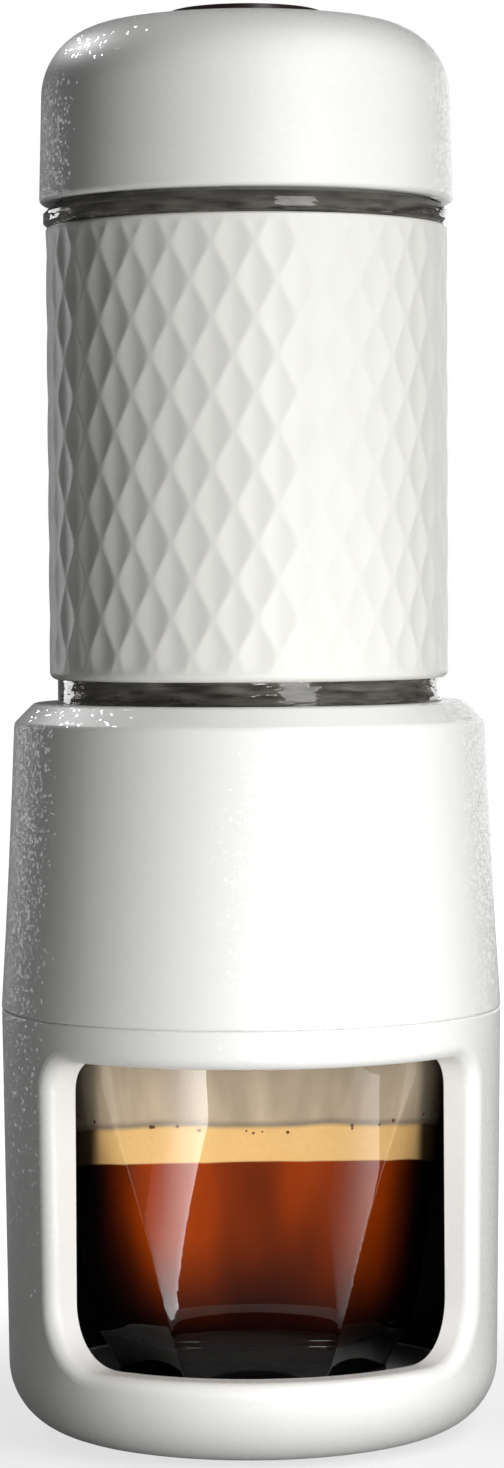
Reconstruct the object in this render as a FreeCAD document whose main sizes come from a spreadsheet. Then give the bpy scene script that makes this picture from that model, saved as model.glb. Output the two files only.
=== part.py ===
"""Handheld manual espresso maker, built as the pieces that it comes apart into.

All lengths are millimetres and +Z is up. The origin is the centre of the foot's
underside, and the base's window faces -Y. Every round piece is a section
turned about the common axis, measured from the face that the piece is seated on.
From the bottom: the base holds the cup, the main body holds the brew chamber and the
filter basket, the water tank carries the grip, and the pump hangs in the tank from
its head, under the cap that works it.
"""
import FreeCAD, Part
import math
import os

import Sketcher

DOC = FreeCAD.newDocument("EspressoMaker")
SHEET = DOC.addObject("Spreadsheet::Sheet", "Dims")

# ---------------------------------------------------------------- driving dimensions
DIMENSIONS = {
    # base: a round shell with a wide window, the cup stands inside it
    "foot_reveal": 0.5,            # how far the foot pad stands out below the base
    "base_height": 62.9,
    "base_flare": 0.8,             # the shell widens by this towards its top
    "base_top_radius": 37.5,
    "base_corner": 10.3,           # rounding under the base
    "base_wall": 5.5,              # round the window, at the base's top
    "well_floor": 7.5,             # top of the floor above the base's underside
    "floor_thickness": 2.5,
    "spigot_height": 3.0,          # collar that the main body is pushed on to
    "spigot_wall": 2.0,
    "seam_round": 0.4,
    "window_low": 12.6,            # above the base's underside
    "window_head": 5.7,            # from the window to the base's top face
    "window_half_angle": 57.7,     # degrees, from the middle of the window to its side
    "window_low_corner": 9.0,
    "window_high_corner": 4.8,
    "window_edge": 2.0,
    # base plate, foot and mat
    "plate_margin": 1.4,           # flat ring of the shell round the plate
    "plate_thickness": 3.0,
    "plate_ledge": 2.5,            # ledge that the plate bears on
    "foot_margin": 1.5,
    "foot_sink": 1.0,              # foot pad sunk into the plate
    "mat_margin": 0.9,             # the mat ends inside the cup's foot
    "mat_thickness": 0.8,
    "base_screw_inset": 5.5,
    "base_screw_count": 3,
    "base_boss_radius": 3.4,
    "base_screw_bite": 3.6,        # screw above the plate
    # glass cup
    "cup_gap": 1.6,                # between the rim and the well's wall
    "cup_foot_step": 9.5,          # how far the foot stands in from the rim
    "cup_foot_height": 2.5,
    "cup_foot_taper": 1.1,
    "cup_knee_step": 4.9,
    "cup_knee_height": 15.5,
    "cup_knee_round": 28.0,
    "cup_headroom": 2.4,           # from the rim to the base's top face
    "cup_wall": 1.9,
    "cup_floor": 5.7,
    "cup_foot_wall": 3.4,
    "cup_rim_round": 0.7,
    # main body
    "body_height": 45.8,
    "body_overhang": 0.05,         # body beyond the base at the seam
    "body_taper": 2.15,
    "body_flare": 1800.0,          # radius of the slightly hollow flank
    "body_bevel": 3.0,
    "body_bevel_round": 1.0,
    "body_low_wall": 4.0,
    "body_high_wall": 3.4,
    "body_roof": 2.4,
    "deck_thickness": 2.4,
    "deck_rise": 0.2,              # deck above the base's spigot
    "deck_post_step": 0.1,
    "deck_post_radius": 3.0,
    "deck_screw_count": 3,
    "deck_screw_bite": 2.0,        # screw inside the liner's ledge
    "liner_wall": 2.4,
    "ledge_thickness": 2.5,
    "ledge_reach": 3.5,
    # brew chamber and basket
    "chamber_flange": 2.5,
    "chamber_gap": 0.4,            # between the chamber and the ledge's bore
    "chamber_wall": 1.4,
    "chamber_room": 1.5,           # under the basket
    "funnel_fall": 3.2,
    "funnel_floor": 1.6,
    "spout_radius": 5.0,
    "spout_bore": 3.2,
    "spout_reach": 1.1,            # spout's end above the base's top face
    "nozzle_bore": 1.1,
    "nozzle_lip": 1.4,
    "nozzle_insert": 6.0,
    "basket_gap": 0.6,             # between the basket and the chamber's wall
    "basket_depth": 13.0,
    "basket_sheet": 0.8,
    "basket_rim_gap": 0.6,
    "basket_hole": 0.55,
    "basket_hole_pitch": 4.2,
    "gasket_thickness": 1.5,
    "gasket_width": 3.8,
    "gasket_gap": 0.4,
    # water tank and grip
    "body_landing": 3.6,           # flat ring between the bevel and the neck
    "neck_depth": 13.2,            # neck inside the main body
    "neck_reveal": 3.5,            # neck that shows above the main body
    "neck_step": 0.8,
    "tank_wall": 1.8,
    "tank_floor": 2.5,
    "socket_wall": 1.9,
    "socket_height": 6.0,
    "drain_ring": 5.2,
    "drain_hole": 1.1,
    "drain_count": 4,
    "flange_reach": 2.6,
    "flange_height": 3.1,
    "flange_low_bevel": 0.75,
    "flange_high_bevel": 1.0,
    "sleeve_height": 67.8,
    "sleeve_wall": 2.0,
    "sleeve_flare": 0.25,
    "sleeve_low_round": 1.2,
    "sleeve_high_round": 0.5,
    "screen_recess": 2.0,
    "screen_step": 1.9,
    "screen_sheet": 0.8,
    "screen_sink": 0.2,
    "screen_rim": 1.0,
    "screen_hole": 0.7,
    "screen_hole_pitch": 5.0,
    "shower_screw_bite": 2.0,
    # pump head
    "head_gasket_thickness": 1.0,
    "lid_step": 0.2,               # the lid's edge inside the tank's
    "lid_thickness": 2.4,
    "lid_skirt_height": 10.6,
    "lid_skirt_wall": 2.3,
    "lid_socket_wall": 1.8,
    "lid_socket_height": 6.0,
    "lid_edge_round": 0.6,
    "cylinder_radius": 11.0,
    "cylinder_bore": 9.0,
    "cylinder_port": 1.5,
    "cylinder_port_height": 35.5,
    "seal_groove_height": 1.8,
    "seal_groove_depth": 0.9,
    "seal_groove_lift": 2.0,
    "block_height": 9.0,
    "block_plenum_radius": 6.8,
    "block_plenum_height": 1.0,
    "ball_radius": 2.4,
    "ball_chamber": 3.2,
    "ball_port": 1.5,
    "block_port_height": 2.4,      # from the ball's seat to the block's top
    "retainer_height": 0.6,
    "retainer_bore": 0.9,
    "retainer_hole": 0.8,
    "retainer_hole_ring": 4.6,
    "retainer_hole_count": 6,
    "valve_spring_radius": 1.5,
    "valve_spring_wire": 0.15,
    "valve_spring_turns": 3,
    "bush_wall": 2.0,
    "bush_collar": 1.2,
    "bush_collar_height": 0.6,
    "wiper_height": 1.4,
    "wiper_lip": 0.6,
    "spring_radius": 9.4,
    "spring_wire": 0.7,
    "spring_turns": 7,
    "wire_sides": 12,              # the springs' round wire, as a many-sided section
    # piston and cap
    "piston_length": 9.0,
    "piston_lift": 0.5,            # piston above the valve block at rest
    "piston_clearance": 0.2,
    "piston_seal_height": 1.8,
    "piston_seal_depth": 1.5,
    "piston_seal_first": 1.8,
    "piston_seal_spacing": 3.4,
    "rod_radius": 4.0,
    "rod_tail_radius": 2.5,
    "rod_tail": 7.0,
    "rod_neck_radius": 3.4,
    "hub_flange_radius": 11.5,
    "hub_flange": 2.0,
    "hub_sleeve": 5.0,
    "hub_wall": 2.2,
    "cap_gap": 0.5,                # shadow gap between tank flange and cap
    "cap_reach": 0.6,              # cap beyond the tank's flange
    "cap_taper": 0.4,
    "cap_shoulder_height": 16.0,   # where the shoulder rounding begins
    "cap_flat": 20.0,              # radius inside the shoulder rounding
    "cap_crown": 186.0,            # radius of the gently domed top
    "cap_wall": 2.3,
    "cap_low_round": 0.8,
    "cap_web": 2.0,
    "cap_boss_radius": 14.0,
    "cap_screw_pocket": 4.7,
    "badge_radius": 11.5,
    "badge_sink": 1.2,
    "badge_rise": 2.4,
    "badge_dome": 120.0,
    # screws
    "screw_head_radius": 2.6,
    "screw_head": 1.2,
    "screw_radius": 1.4,
    "cap_screw_head_radius": 4.0,
    "cap_screw_head": 2.2,
    "cap_screw_radius": 2.0,
    "cap_screw_length": 13.0,
    # fits
    "static_fit": 0.05,            # radial, pieces pressed or screwed together
    "running_fit": 0.05,           # radial, the rod in its bush
    "seal_fit": 0.03,              # radial, a seal on the wall that it wipes
    "loose_fit": 0.15,             # radial, pieces taken apart by hand
    "thread_fit": 0.2,
    "turn_gap": 0.1,               # axial, the cap under its screw's head
}

# Sizes that follow from the ones above, as the sheet's own formulas
DERIVED = {
    "base_low_radius": "base_top_radius - base_flare",  # where the bottom rounding begins
    "well_radius": "base_top_radius - base_wall",  # room for the cup
    "window_high": "base_height - window_head",
    "plate_radius": "base_low_radius - base_corner - plate_margin",
    "hollow_radius": "plate_radius - plate_ledge",  # space over the plate
    "foot_radius": "plate_radius - foot_margin",
    "mat_radius": "cup_foot_radius - mat_margin",
    "base_screw_ring": "hollow_radius - base_screw_inset",
    "cup_foot_radius": "cup_rim_radius - cup_foot_step",
    "cup_knee_radius": "cup_rim_radius - cup_knee_step",
    "cup_rim_radius": "well_radius - cup_gap",
    "cup_height": "base_height - well_floor - mat_thickness - cup_headroom",
    "cup_floor_radius": "cup_foot_radius - cup_foot_wall",
    "body_low_radius": "base_top_radius + body_overhang",
    "body_high_radius": "body_low_radius - body_taper",
    "deck_post_ring": "neck_radius + deck_post_step",
    "ledge_bore": "neck_radius - ledge_reach",
    "chamber_radius": "ledge_bore - chamber_gap",
    "basket_radius": "chamber_radius - chamber_wall - basket_gap",
    "basket_rim_radius": "neck_radius - basket_rim_gap",
    "gasket_inner": "gasket_outer - gasket_width",
    "gasket_outer": "neck_radius - gasket_gap",
    "neck_radius": "body_high_radius - body_bevel - body_landing",
    "tank_radius": "neck_radius - neck_step",
    "tank_bore": "tank_radius - tank_wall",
    "flange_radius": "tank_radius + flange_reach",
    "sleeve_low_radius": "tank_radius + sleeve_wall",
    "sleeve_high_radius": "sleeve_low_radius + sleeve_flare",
    "screen_radius": "tank_bore - screen_step",
    "lid_radius": "tank_radius - lid_step",
    "cap_low_radius": "flange_radius + cap_reach",
    "cap_high_radius": "cap_low_radius - cap_taper",
    "cap_shoulder": "cap_high_radius - cap_flat",  # radius of the shoulder rounding
}


def fill_sheet():
    """Write every size into the sheet with its own alias, then the formulas that use them."""
    contents = {alias: str(number) for alias, number in DIMENSIONS.items()}
    contents.update({alias: f"={formula}" for alias, formula in DERIVED.items()})
    for row, alias in enumerate(contents, start=1):
        SHEET.set(f"A{row}", alias)
        SHEET.setAlias(f"B{row}", alias)
    for row, content in enumerate(contents.values(), start=1):
        SHEET.set(f"B{row}", content)
    DOC.recompute()


def value(expression):
    """The number that an expression over the sheet gives."""
    result = SHEET.evalExpression(expression)
    return float(getattr(result, "Value", result))


# ---------------------------------------------------------------- levels above the table
GROUND = "0"
BASE_SEAT = "Dims.foot_reveal"
BASE_TOP = f"({BASE_SEAT} + Dims.base_height)"
WELL_FLOOR = f"({BASE_SEAT} + Dims.well_floor)"
CUP_SEAT = f"({WELL_FLOOR} + Dims.mat_thickness)"
DECK_SEAT = f"({BASE_TOP} + Dims.spigot_height + Dims.deck_rise)"
BODY_TOP = f"({BASE_TOP} + Dims.body_height)"
TANK_SEAT = f"({BODY_TOP} - Dims.neck_depth)"
GASKET_SEAT = f"({TANK_SEAT} - Dims.gasket_thickness)"
CHAMBER_TOP = f"({GASKET_SEAT} - Dims.basket_sheet)"
LEDGE_TOP = f"({CHAMBER_TOP} - Dims.chamber_flange)"
LINER_SEAT = f"({LEDGE_TOP} - Dims.ledge_thickness)"
TANK_FLOOR = f"({TANK_SEAT} + Dims.screen_recess + Dims.tank_floor)"
SLEEVE_SEAT = f"({BODY_TOP} + Dims.neck_reveal)"
FLANGE_SEAT = f"({SLEEVE_SEAT} + Dims.sleeve_height)"
TANK_TOP = f"({FLANGE_SEAT} + Dims.flange_height)"
LID_SEAT = f"({TANK_TOP} + Dims.head_gasket_thickness)"
LID_TOP = f"({LID_SEAT} + Dims.lid_thickness)"
BALL_PORT = f"({TANK_FLOOR} + Dims.block_height - Dims.block_port_height)"
BALL_MIDDLE = f"({BALL_PORT} - sqrt(Dims.ball_radius^2 - Dims.ball_port^2))"
PISTON_SEAT = f"({TANK_FLOOR} + Dims.block_height + Dims.piston_lift)"
ROD_SEAT = f"({PISTON_SEAT} + Dims.piston_length)"
CAP_SEAT = f"({TANK_TOP} + Dims.cap_gap)"
CROWN_SPAN = "(Dims.cap_crown - Dims.cap_shoulder)"
SHOULDER_AXIS = "(Dims.cap_high_radius - Dims.cap_shoulder)"
CROWN_RISE = f"sqrt({CROWN_SPAN}^2 - {SHOULDER_AXIS}^2)"
BADGE_BORE = "(Dims.badge_radius + Dims.static_fit)"
CAP_HEIGHT = f"(Dims.cap_shoulder_height - {CROWN_RISE} + sqrt(Dims.cap_crown^2 - {BADGE_BORE}^2))"
CAP_TOP = f"({CAP_SEAT} + {CAP_HEIGHT})"
BADGE_SEAT = f"({CAP_TOP} - Dims.badge_sink)"
WEB_TOP = f"({BADGE_SEAT} - Dims.cap_screw_head - 2 * Dims.turn_gap)"
WEB_SEAT = f"({WEB_TOP} - Dims.cap_web)"
HUB_SHOULDER = f"({WEB_SEAT} - Dims.hub_flange - Dims.hub_sleeve)"


# ---------------------------------------------------------------- ways of making a piece
def origin_plane(body, role):
    """One of a body's own origin planes or axes."""
    return next(item for item in body.Origin.OriginFeatures if item.Role == role)


def new_body(label, seat):
    """An empty body, named after its piece and placed on its seat."""
    body = DOC.addObject("PartDesign::Body", label)
    body.Label = label
    body.setExpression("Placement.Base.z", seat)
    return body


def new_sketch(body, role, name, offset=None):
    """A sketch on one of the body's planes, moved along the plane's normal if asked."""
    sketch = body.newObject("Sketcher::SketchObject", f"{body.Name}_{name}")
    sketch.AttachmentSupport = [(origin_plane(body, role), "")]
    sketch.MapMode = "FlatFace"
    if offset is not None:
        sketch.setExpression("AttachmentOffset.Base.z", offset)
    return sketch


def arc_between(start, end, radius, hollow):
    """The short arc from start to end, to the right of the way there unless hollow."""
    middle = (start + end) * 0.5
    half = (end - start) * 0.5
    rise = math.sqrt(max(radius ** 2 - half.Length ** 2, 0.0))
    across = FreeCAD.Vector(-half.y, half.x, 0).normalize()
    centre = middle + across * (-rise if hollow else rise)
    first, last = (end, start) if hollow else (start, end)
    circle = Part.Circle(centre, FreeCAD.Vector(0, 0, 1), radius)
    begin = math.atan2(first.y - centre.y, first.x - centre.x)
    finish = math.atan2(last.y - centre.y, last.x - centre.x)
    return Part.ArcOfCircle(circle, begin, finish)


def place_point(sketch, geometry, position, across, up):
    """Hold one point of a sketch at two distances given as expressions."""
    for kind, axis, expression in (("DistanceX", -2, across), ("DistanceY", -1, up)):
        if expression == "0":
            sketch.addConstraint(Sketcher.Constraint("PointOnObject", geometry, position, axis))
            continue
        hold = Sketcher.Constraint(kind, -1, 1, geometry, position, value(expression))
        index = sketch.addConstraint(hold)
        sketch.setExpression(f"Constraints[{index}]", expression)


def draw_outline(sketch, corners):
    """A closed outline, drawn counter-clockwise.

    A corner is (across, up), reached by a straight line, or (across, up, radius),
    reached by an arc that bulges outwards, or inwards with "hollow" as a fourth item.
    """
    points = [FreeCAD.Vector(value(corner[0]), value(corner[1]), 0) for corner in corners]
    ends = []
    for index, corner in enumerate(corners):
        start, end = points[index - 1], points[index]
        hollow = len(corner) > 3
        if len(corner) == 2:
            sketch.addGeometry(Part.LineSegment(start, end))
        else:
            sketch.addGeometry(arc_between(start, end, value(corner[2]), hollow))
        ends.append((2, 1) if hollow else (1, 2))
    for index, corner in enumerate(corners):
        following = (index + 1) % len(corners)
        meet = Sketcher.Constraint("Coincident", index, ends[index][1], following, ends[following][0])
        sketch.addConstraint(meet)
        place_point(sketch, index, ends[index][1], corner[0], corner[1])
        if len(corner) > 2:
            held = sketch.addConstraint(Sketcher.Constraint("Radius", index, value(corner[2])))
            sketch.setExpression(f"Constraints[{held}]", corner[2])


def turned(label, seat, corners):
    """A round piece: its section of (radius, height) corners turned about the axis."""
    body = new_body(label, seat)
    section = new_sketch(body, "XZ_Plane", "section")
    draw_outline(section, corners)
    turn = body.newObject("PartDesign::Revolution", f"{label}_turn")
    turn.Profile = section
    turn.ReferenceAxis = (section, ["V_Axis"])
    turn.Angle = 360
    DOC.recompute()
    return body


def rim_name(shape, radius, height):
    """The name of the circular edge about the axis at this radius and height."""
    near = 0.01
    for index, edge in enumerate(shape.Edges, start=1):
        if not isinstance(edge.Curve, Part.Circle):
            continue
        centre = edge.Curve.Center
        on_axis = math.hypot(centre.x, centre.y) < near
        if on_axis and abs(centre.z - height) < near and abs(edge.Curve.Radius - radius) < near:
            return f"Edge{index}"
    raise ValueError(f"no rim of radius {radius:.2f} at height {height:.2f}")


def dress_rims(body, kind, property_name, rims, size):
    """Fillet or chamfer a turned piece at the given (radius, height) rims."""
    base = body.Tip
    names = [rim_name(base.Shape, value(radius), value(height)) for radius, height in rims]
    dressing = body.newObject(f"PartDesign::{kind}", f"{body.Name}_{kind}")
    dressing.Base = (base, names)
    dressing.setExpression(property_name, size)
    body.Tip = dressing
    DOC.recompute()


def round_rims(body, rims, radius):
    """Round the rims of a turned piece."""
    dress_rims(body, "Fillet", "Radius", rims, radius)


def bevel_rims(body, rims, size):
    """Bevel the rims of a turned piece at 45 degrees."""
    dress_rims(body, "Chamfer", "Size", rims, size)


def ring_feature(body, kind, name, level, ring, radius, length, count):
    """A round pad or pocket from a level, repeated evenly on a ring about the axis."""
    sketch = new_sketch(body, "XY_Plane", name, level)
    place = FreeCAD.Vector(value(ring), 0, 0)
    sketch.addGeometry(Part.Circle(place, FreeCAD.Vector(0, 0, 1), value(radius)))
    place_point(sketch, 0, 3, ring, "0")
    size = sketch.addConstraint(Sketcher.Constraint("Radius", 0, value(radius)))
    sketch.setExpression(f"Constraints[{size}]", radius)
    feature = body.newObject(f"PartDesign::{kind}", f"{body.Name}_{name}_first")
    feature.Profile = sketch
    feature.setExpression("Length", length)
    repeat_about_axis(body, feature, f"{body.Name}_{name}_ring", count)


def repeat_about_axis(body, feature, name, count):
    """Repeat a feature evenly about the body's axis and make the pattern its tip."""
    pattern = body.newObject("PartDesign::PolarPattern", name)
    pattern.Originals = [feature]
    pattern.Axis = (origin_plane(body, "Z_Axis"), [""])
    pattern.Angle = 360
    pattern.setExpression("Occurrences", count)
    body.Tip = pattern
    DOC.recompute()


def drill_ring(body, name, level, ring, radius, depth, count):
    """Drill holes downwards from a level, evenly spaced on a ring about the axis."""
    before = body.Tip.Shape.Volume
    ring_feature(body, "Pocket", name, level, ring, radius, depth, count)
    if not body.Tip.Shape.Volume < before:
        raise ValueError(f"{body.Label}: the holes {name} cut nothing")


def pad_ring(body, name, level, ring, radius, height, count):
    """Raise posts from a level, evenly spaced on a ring about the axis."""
    before = body.Tip.Shape.Volume
    ring_feature(body, "Pad", name, level, ring, radius, height, count)
    if not body.Tip.Shape.Volume > before:
        raise ValueError(f"{body.Label}: the posts {name} add nothing")


def primitive(kind, name, height, **sizes):
    """A Part primitive at a height above the table, its sizes bound to the sheet."""
    item = DOC.addObject(f"Part::{kind}", name)
    for size, expression in sizes.items():
        item.setExpression(size, expression)
    item.setExpression("Placement.Base.z", height)
    return item


def coil(label, low, high, radius, wire, turns):
    """A coil spring whose wire's middle line climbs from low to high above the table."""
    line = primitive(
        "Helix", f"{label}_line", low,
        Radius=radius, Height=f"{high} - ({low})", Pitch=f"({high} - ({low})) / {turns}",
    )
    section = primitive(
        "RegularPolygon", f"{label}_section", low, Circumradius=wire, Polygon="Dims.wire_sides",
    )
    section.setExpression("Placement.Base.x", radius)
    section.Placement.Rotation = FreeCAD.Rotation(FreeCAD.Vector(1, 0, 0), 90)
    spring = DOC.addObject("Part::Sweep", label)
    spring.Label = label
    spring.Sections = [section]
    spring.Spine = (line, ["Edge1"])
    spring.Solid = True
    spring.Frenet = True
    DOC.recompute()
    return spring


def set_on_ring(item, ring, angle):
    """Place an item on a ring about the axis, at an angle in degrees."""
    item.setExpression("Placement.Base.x", f"{ring} * cos({angle} deg)")
    item.setExpression("Placement.Base.y", f"{ring} * sin({angle} deg)")


def screw_set(label, ring, count, head_seat, shank):
    """Equal screws on a ring, heads down, each with its head's underside at head_seat."""
    screws = []
    for index in range(int(value(count))):
        angle = index * 360.0 / value(count)
        name = f"{label}_{index + 1}"
        head = primitive(
            "Cylinder", f"{name}_head", f"{head_seat}",
            Radius="Dims.screw_head_radius", Height="Dims.screw_head",
        )
        body = primitive(
            "Cylinder", f"{name}_shank", f"{head_seat}",
            Radius="Dims.screw_radius", Height=f"Dims.screw_head + {shank}",
        )
        for item in (head, body):
            set_on_ring(item, ring, angle)
        screw = DOC.addObject("Part::MultiFuse", name)
        screw.Shapes = [head, body]
        screws.append(screw)
    group = DOC.addObject("Part::Compound", label)
    group.Label = label
    group.Links = screws
    DOC.recompute()
    return group


# ---------------------------------------------------------------- base
def window_outline(sketch, depth):
    """A window's outline where the plane stands this far in front of the axis."""
    half = f"({depth} * tan(Dims.window_half_angle * 1 deg))"
    draw_outline(sketch, [
        (f"-{half}", "Dims.window_low"),
        (half, "Dims.window_low"),
        (half, "Dims.window_high"),
        (f"-{half}", "Dims.window_high"),
    ])


def cut_window(body):
    """Cut the window, with sides that point at the axis, round its corners and ease its edges."""
    before = body.Tip.Shape.Volume
    near_depth, far_depth = "(Dims.well_radius / 2)", "(Dims.base_top_radius + Dims.base_corner)"
    near = new_sketch(body, "XZ_Plane", "window_near", near_depth)
    window_outline(near, near_depth)
    far = new_sketch(body, "XZ_Plane", "window_far", far_depth)
    window_outline(far, far_depth)
    opening = body.newObject("PartDesign::SubtractiveLoft", "base_window")
    opening.Profile = near
    opening.Sections = [(far, [""])]
    opening.Ruled = True
    body.Tip = opening
    DOC.recompute()
    if not opening.Shape.Volume < before:
        raise ValueError("the window cuts nothing")
    for name, level, radius in (
        ("base_window_low_corners", "Dims.window_low", "Dims.window_low_corner"),
        ("base_window_high_corners", "Dims.window_high", "Dims.window_high_corner"),
    ):
        ease(body, name, corner_edges(body.Tip.Shape, value(level)), radius)
    ease(body, "base_window_easing", window_edges(body.Tip.Shape), "Dims.window_edge")


def ease(body, name, edges, radius):
    """Round these edges of the body so far."""
    before = body.Tip
    easing = body.newObject("PartDesign::Fillet", name)
    easing.Base = (before, edges)
    easing.setExpression("Radius", radius)
    body.Tip = easing
    DOC.recompute()


def edges_where(shape, test):
    """The names of the edges on which every looked-at point passes a test."""
    along_edge = (0.1, 0.5, 0.9)
    names = []
    for index, edge in enumerate(shape.Edges, start=1):
        first, last = edge.ParameterRange
        if all(test(edge.valueAt(first + (last - first) * share)) for share in along_edge):
            names.append(f"Edge{index}")
    return names


def corner_edges(shape, level):
    """The names of the edges between the window's sides and its head or sill at this level."""
    side, near = math.tan(math.radians(value("Dims.window_half_angle"))), 0.01
    return edges_where(
        shape, lambda point: abs(point.z - level) < near and abs(abs(point.x) + side * point.y) < near
    )


def window_edges(shape):
    """The names of the window's edges on the base's outer face."""
    low, high = value("Dims.window_low"), value("Dims.window_high")
    start, end = value("Dims.base_corner"), value("Dims.base_height")
    low_radius, high_radius = value("Dims.base_low_radius"), value("Dims.base_top_radius")
    near = 0.05

    def on_outer_face(point):
        outer = low_radius + (high_radius - low_radius) * (point.z - start) / (end - start)
        return low - near < point.z < high + near and abs(math.hypot(point.x, point.y) - outer) < near

    return edges_where(shape, on_outer_face)


def make_base():
    """The shell with its window, the plate under it, the foot pad and the cup's mat."""
    floor_low = "Dims.well_floor - Dims.floor_thickness"
    spigot_radius = "Dims.well_radius + Dims.spigot_wall"
    spigot_top = "Dims.base_height + Dims.spigot_height"
    flat_radius = "Dims.base_low_radius - Dims.base_corner"
    recess = "Dims.plate_radius + Dims.static_fit"
    shell = turned("base_shell", BASE_SEAT, [
        (recess, "0"),
        (flat_radius, "0"),
        ("Dims.base_low_radius", "Dims.base_corner", "Dims.base_corner"),
        ("Dims.base_top_radius", "Dims.base_height"),
        (spigot_radius, "Dims.base_height"),
        (spigot_radius, spigot_top),
        ("Dims.well_radius", spigot_top),
        ("Dims.well_radius", "Dims.well_floor"),
        ("0", "Dims.well_floor"),
        ("0", floor_low),
        ("Dims.hollow_radius", floor_low),
        ("Dims.hollow_radius", "Dims.plate_thickness"),
        (recess, "Dims.plate_thickness"),
    ])
    cut_window(shell)
    round_rims(shell, [("Dims.base_top_radius", "Dims.base_height")], "Dims.seam_round")
    pad_ring(shell, "boss", "Dims.plate_thickness", "Dims.base_screw_ring",
             "Dims.base_boss_radius", f"{floor_low} - Dims.plate_thickness", "Dims.base_screw_count")
    pilot_top = "Dims.plate_thickness + Dims.base_screw_bite + Dims.loose_fit"
    drill_ring(shell, "pilot", pilot_top, "Dims.base_screw_ring", "Dims.screw_radius + Dims.static_fit",
               f"{pilot_top} - Dims.plate_thickness", "Dims.base_screw_count")

    foot_bore = "Dims.foot_radius + Dims.static_fit"
    plate = turned("base_plate", BASE_SEAT, [
        (foot_bore, "0"),
        ("Dims.plate_radius", "0"),
        ("Dims.plate_radius", "Dims.plate_thickness"),
        ("0", "Dims.plate_thickness"),
        ("0", "Dims.foot_sink"),
        (foot_bore, "Dims.foot_sink"),
    ])
    head_top = "(Dims.foot_sink + Dims.screw_head)"
    drill_ring(plate, "screw", "Dims.plate_thickness", "Dims.base_screw_ring",
               "Dims.screw_radius + Dims.loose_fit", "Dims.plate_thickness", "Dims.base_screw_count")
    drill_ring(plate, "sink", head_top, "Dims.base_screw_ring",
               "Dims.screw_head_radius + Dims.loose_fit", head_top, "Dims.base_screw_count")
    screws = screw_set("base_screws", "Dims.base_screw_ring", "Dims.base_screw_count",
                       f"({BASE_SEAT} + Dims.foot_sink)",
                       f"Dims.plate_thickness - {head_top} + Dims.base_screw_bite")
    pad_top = "Dims.foot_reveal + Dims.foot_sink"
    pad = turned("foot_pad", GROUND, [
        ("Dims.foot_radius", "0"),
        ("Dims.foot_radius", pad_top),
        ("0", pad_top),
        ("0", "0"),
    ])
    round_rims(pad, [("Dims.foot_radius", "0")], "Dims.foot_reveal / 2")
    mat = turned("cup_mat", WELL_FLOOR, [
        ("Dims.mat_radius", "0"),
        ("Dims.mat_radius", "Dims.mat_thickness"),
        ("0", "Dims.mat_thickness"),
        ("0", "0"),
    ])
    return [shell, plate, screws, pad, mat]


# ---------------------------------------------------------------- cup
def make_cup():
    """The glass that stands in the base, with a thick foot and a thin wall."""
    inner_knee = "Dims.cup_knee_radius - Dims.cup_wall"
    inner_rim = "Dims.cup_rim_radius - Dims.cup_wall"
    cup = turned("glass_cup", CUP_SEAT, [
        ("0", "0"),
        ("Dims.cup_foot_radius - Dims.cup_foot_taper", "0"),
        ("Dims.cup_foot_radius", "Dims.cup_foot_height"),
        ("Dims.cup_knee_radius", "Dims.cup_knee_height", "Dims.cup_knee_round"),
        ("Dims.cup_rim_radius", "Dims.cup_height"),
        (inner_rim, "Dims.cup_height"),
        (inner_knee, "Dims.cup_knee_height"),
        ("Dims.cup_floor_radius", "Dims.cup_floor", "Dims.cup_knee_round", "hollow"),
        ("0", "Dims.cup_floor"),
    ])
    round_rims(cup, [("Dims.cup_rim_radius", "Dims.cup_height"), (inner_rim, "Dims.cup_height")],
               "Dims.cup_rim_round")
    return [cup]


# ---------------------------------------------------------------- main body
NECK_BORE = "(Dims.neck_radius + Dims.thread_fit)"
SKIRT_BORE = "(Dims.well_radius + Dims.spigot_wall + Dims.loose_fit)"
SPOUT_END = f"({BASE_TOP} + Dims.spout_reach)"


def make_body_shell():
    """The outer shell: a slightly hollow flank under a 45 degree bevel."""
    deck_top = "Dims.spigot_height + Dims.deck_rise + Dims.deck_thickness"
    bevel_low = "Dims.body_height - Dims.body_bevel"
    roof_low = "Dims.body_height - Dims.body_roof"
    shell = turned("body_shell", BASE_TOP, [
        (SKIRT_BORE, "0"),
        ("Dims.body_low_radius", "0"),
        ("Dims.body_high_radius", bevel_low, "Dims.body_flare", "hollow"),
        ("Dims.body_high_radius - Dims.body_bevel", "Dims.body_height"),
        (NECK_BORE, "Dims.body_height"),
        (NECK_BORE, roof_low),
        ("Dims.body_high_radius - Dims.body_high_wall", roof_low),
        ("Dims.body_low_radius - Dims.body_low_wall", deck_top),
        (SKIRT_BORE, deck_top),
    ])
    round_rims(shell, [
        ("Dims.body_high_radius", bevel_low),
        ("Dims.body_high_radius - Dims.body_bevel", "Dims.body_height"),
    ], "Dims.body_bevel_round")
    round_rims(shell, [("Dims.body_low_radius", "0")], "Dims.seam_round")
    return shell


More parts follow.
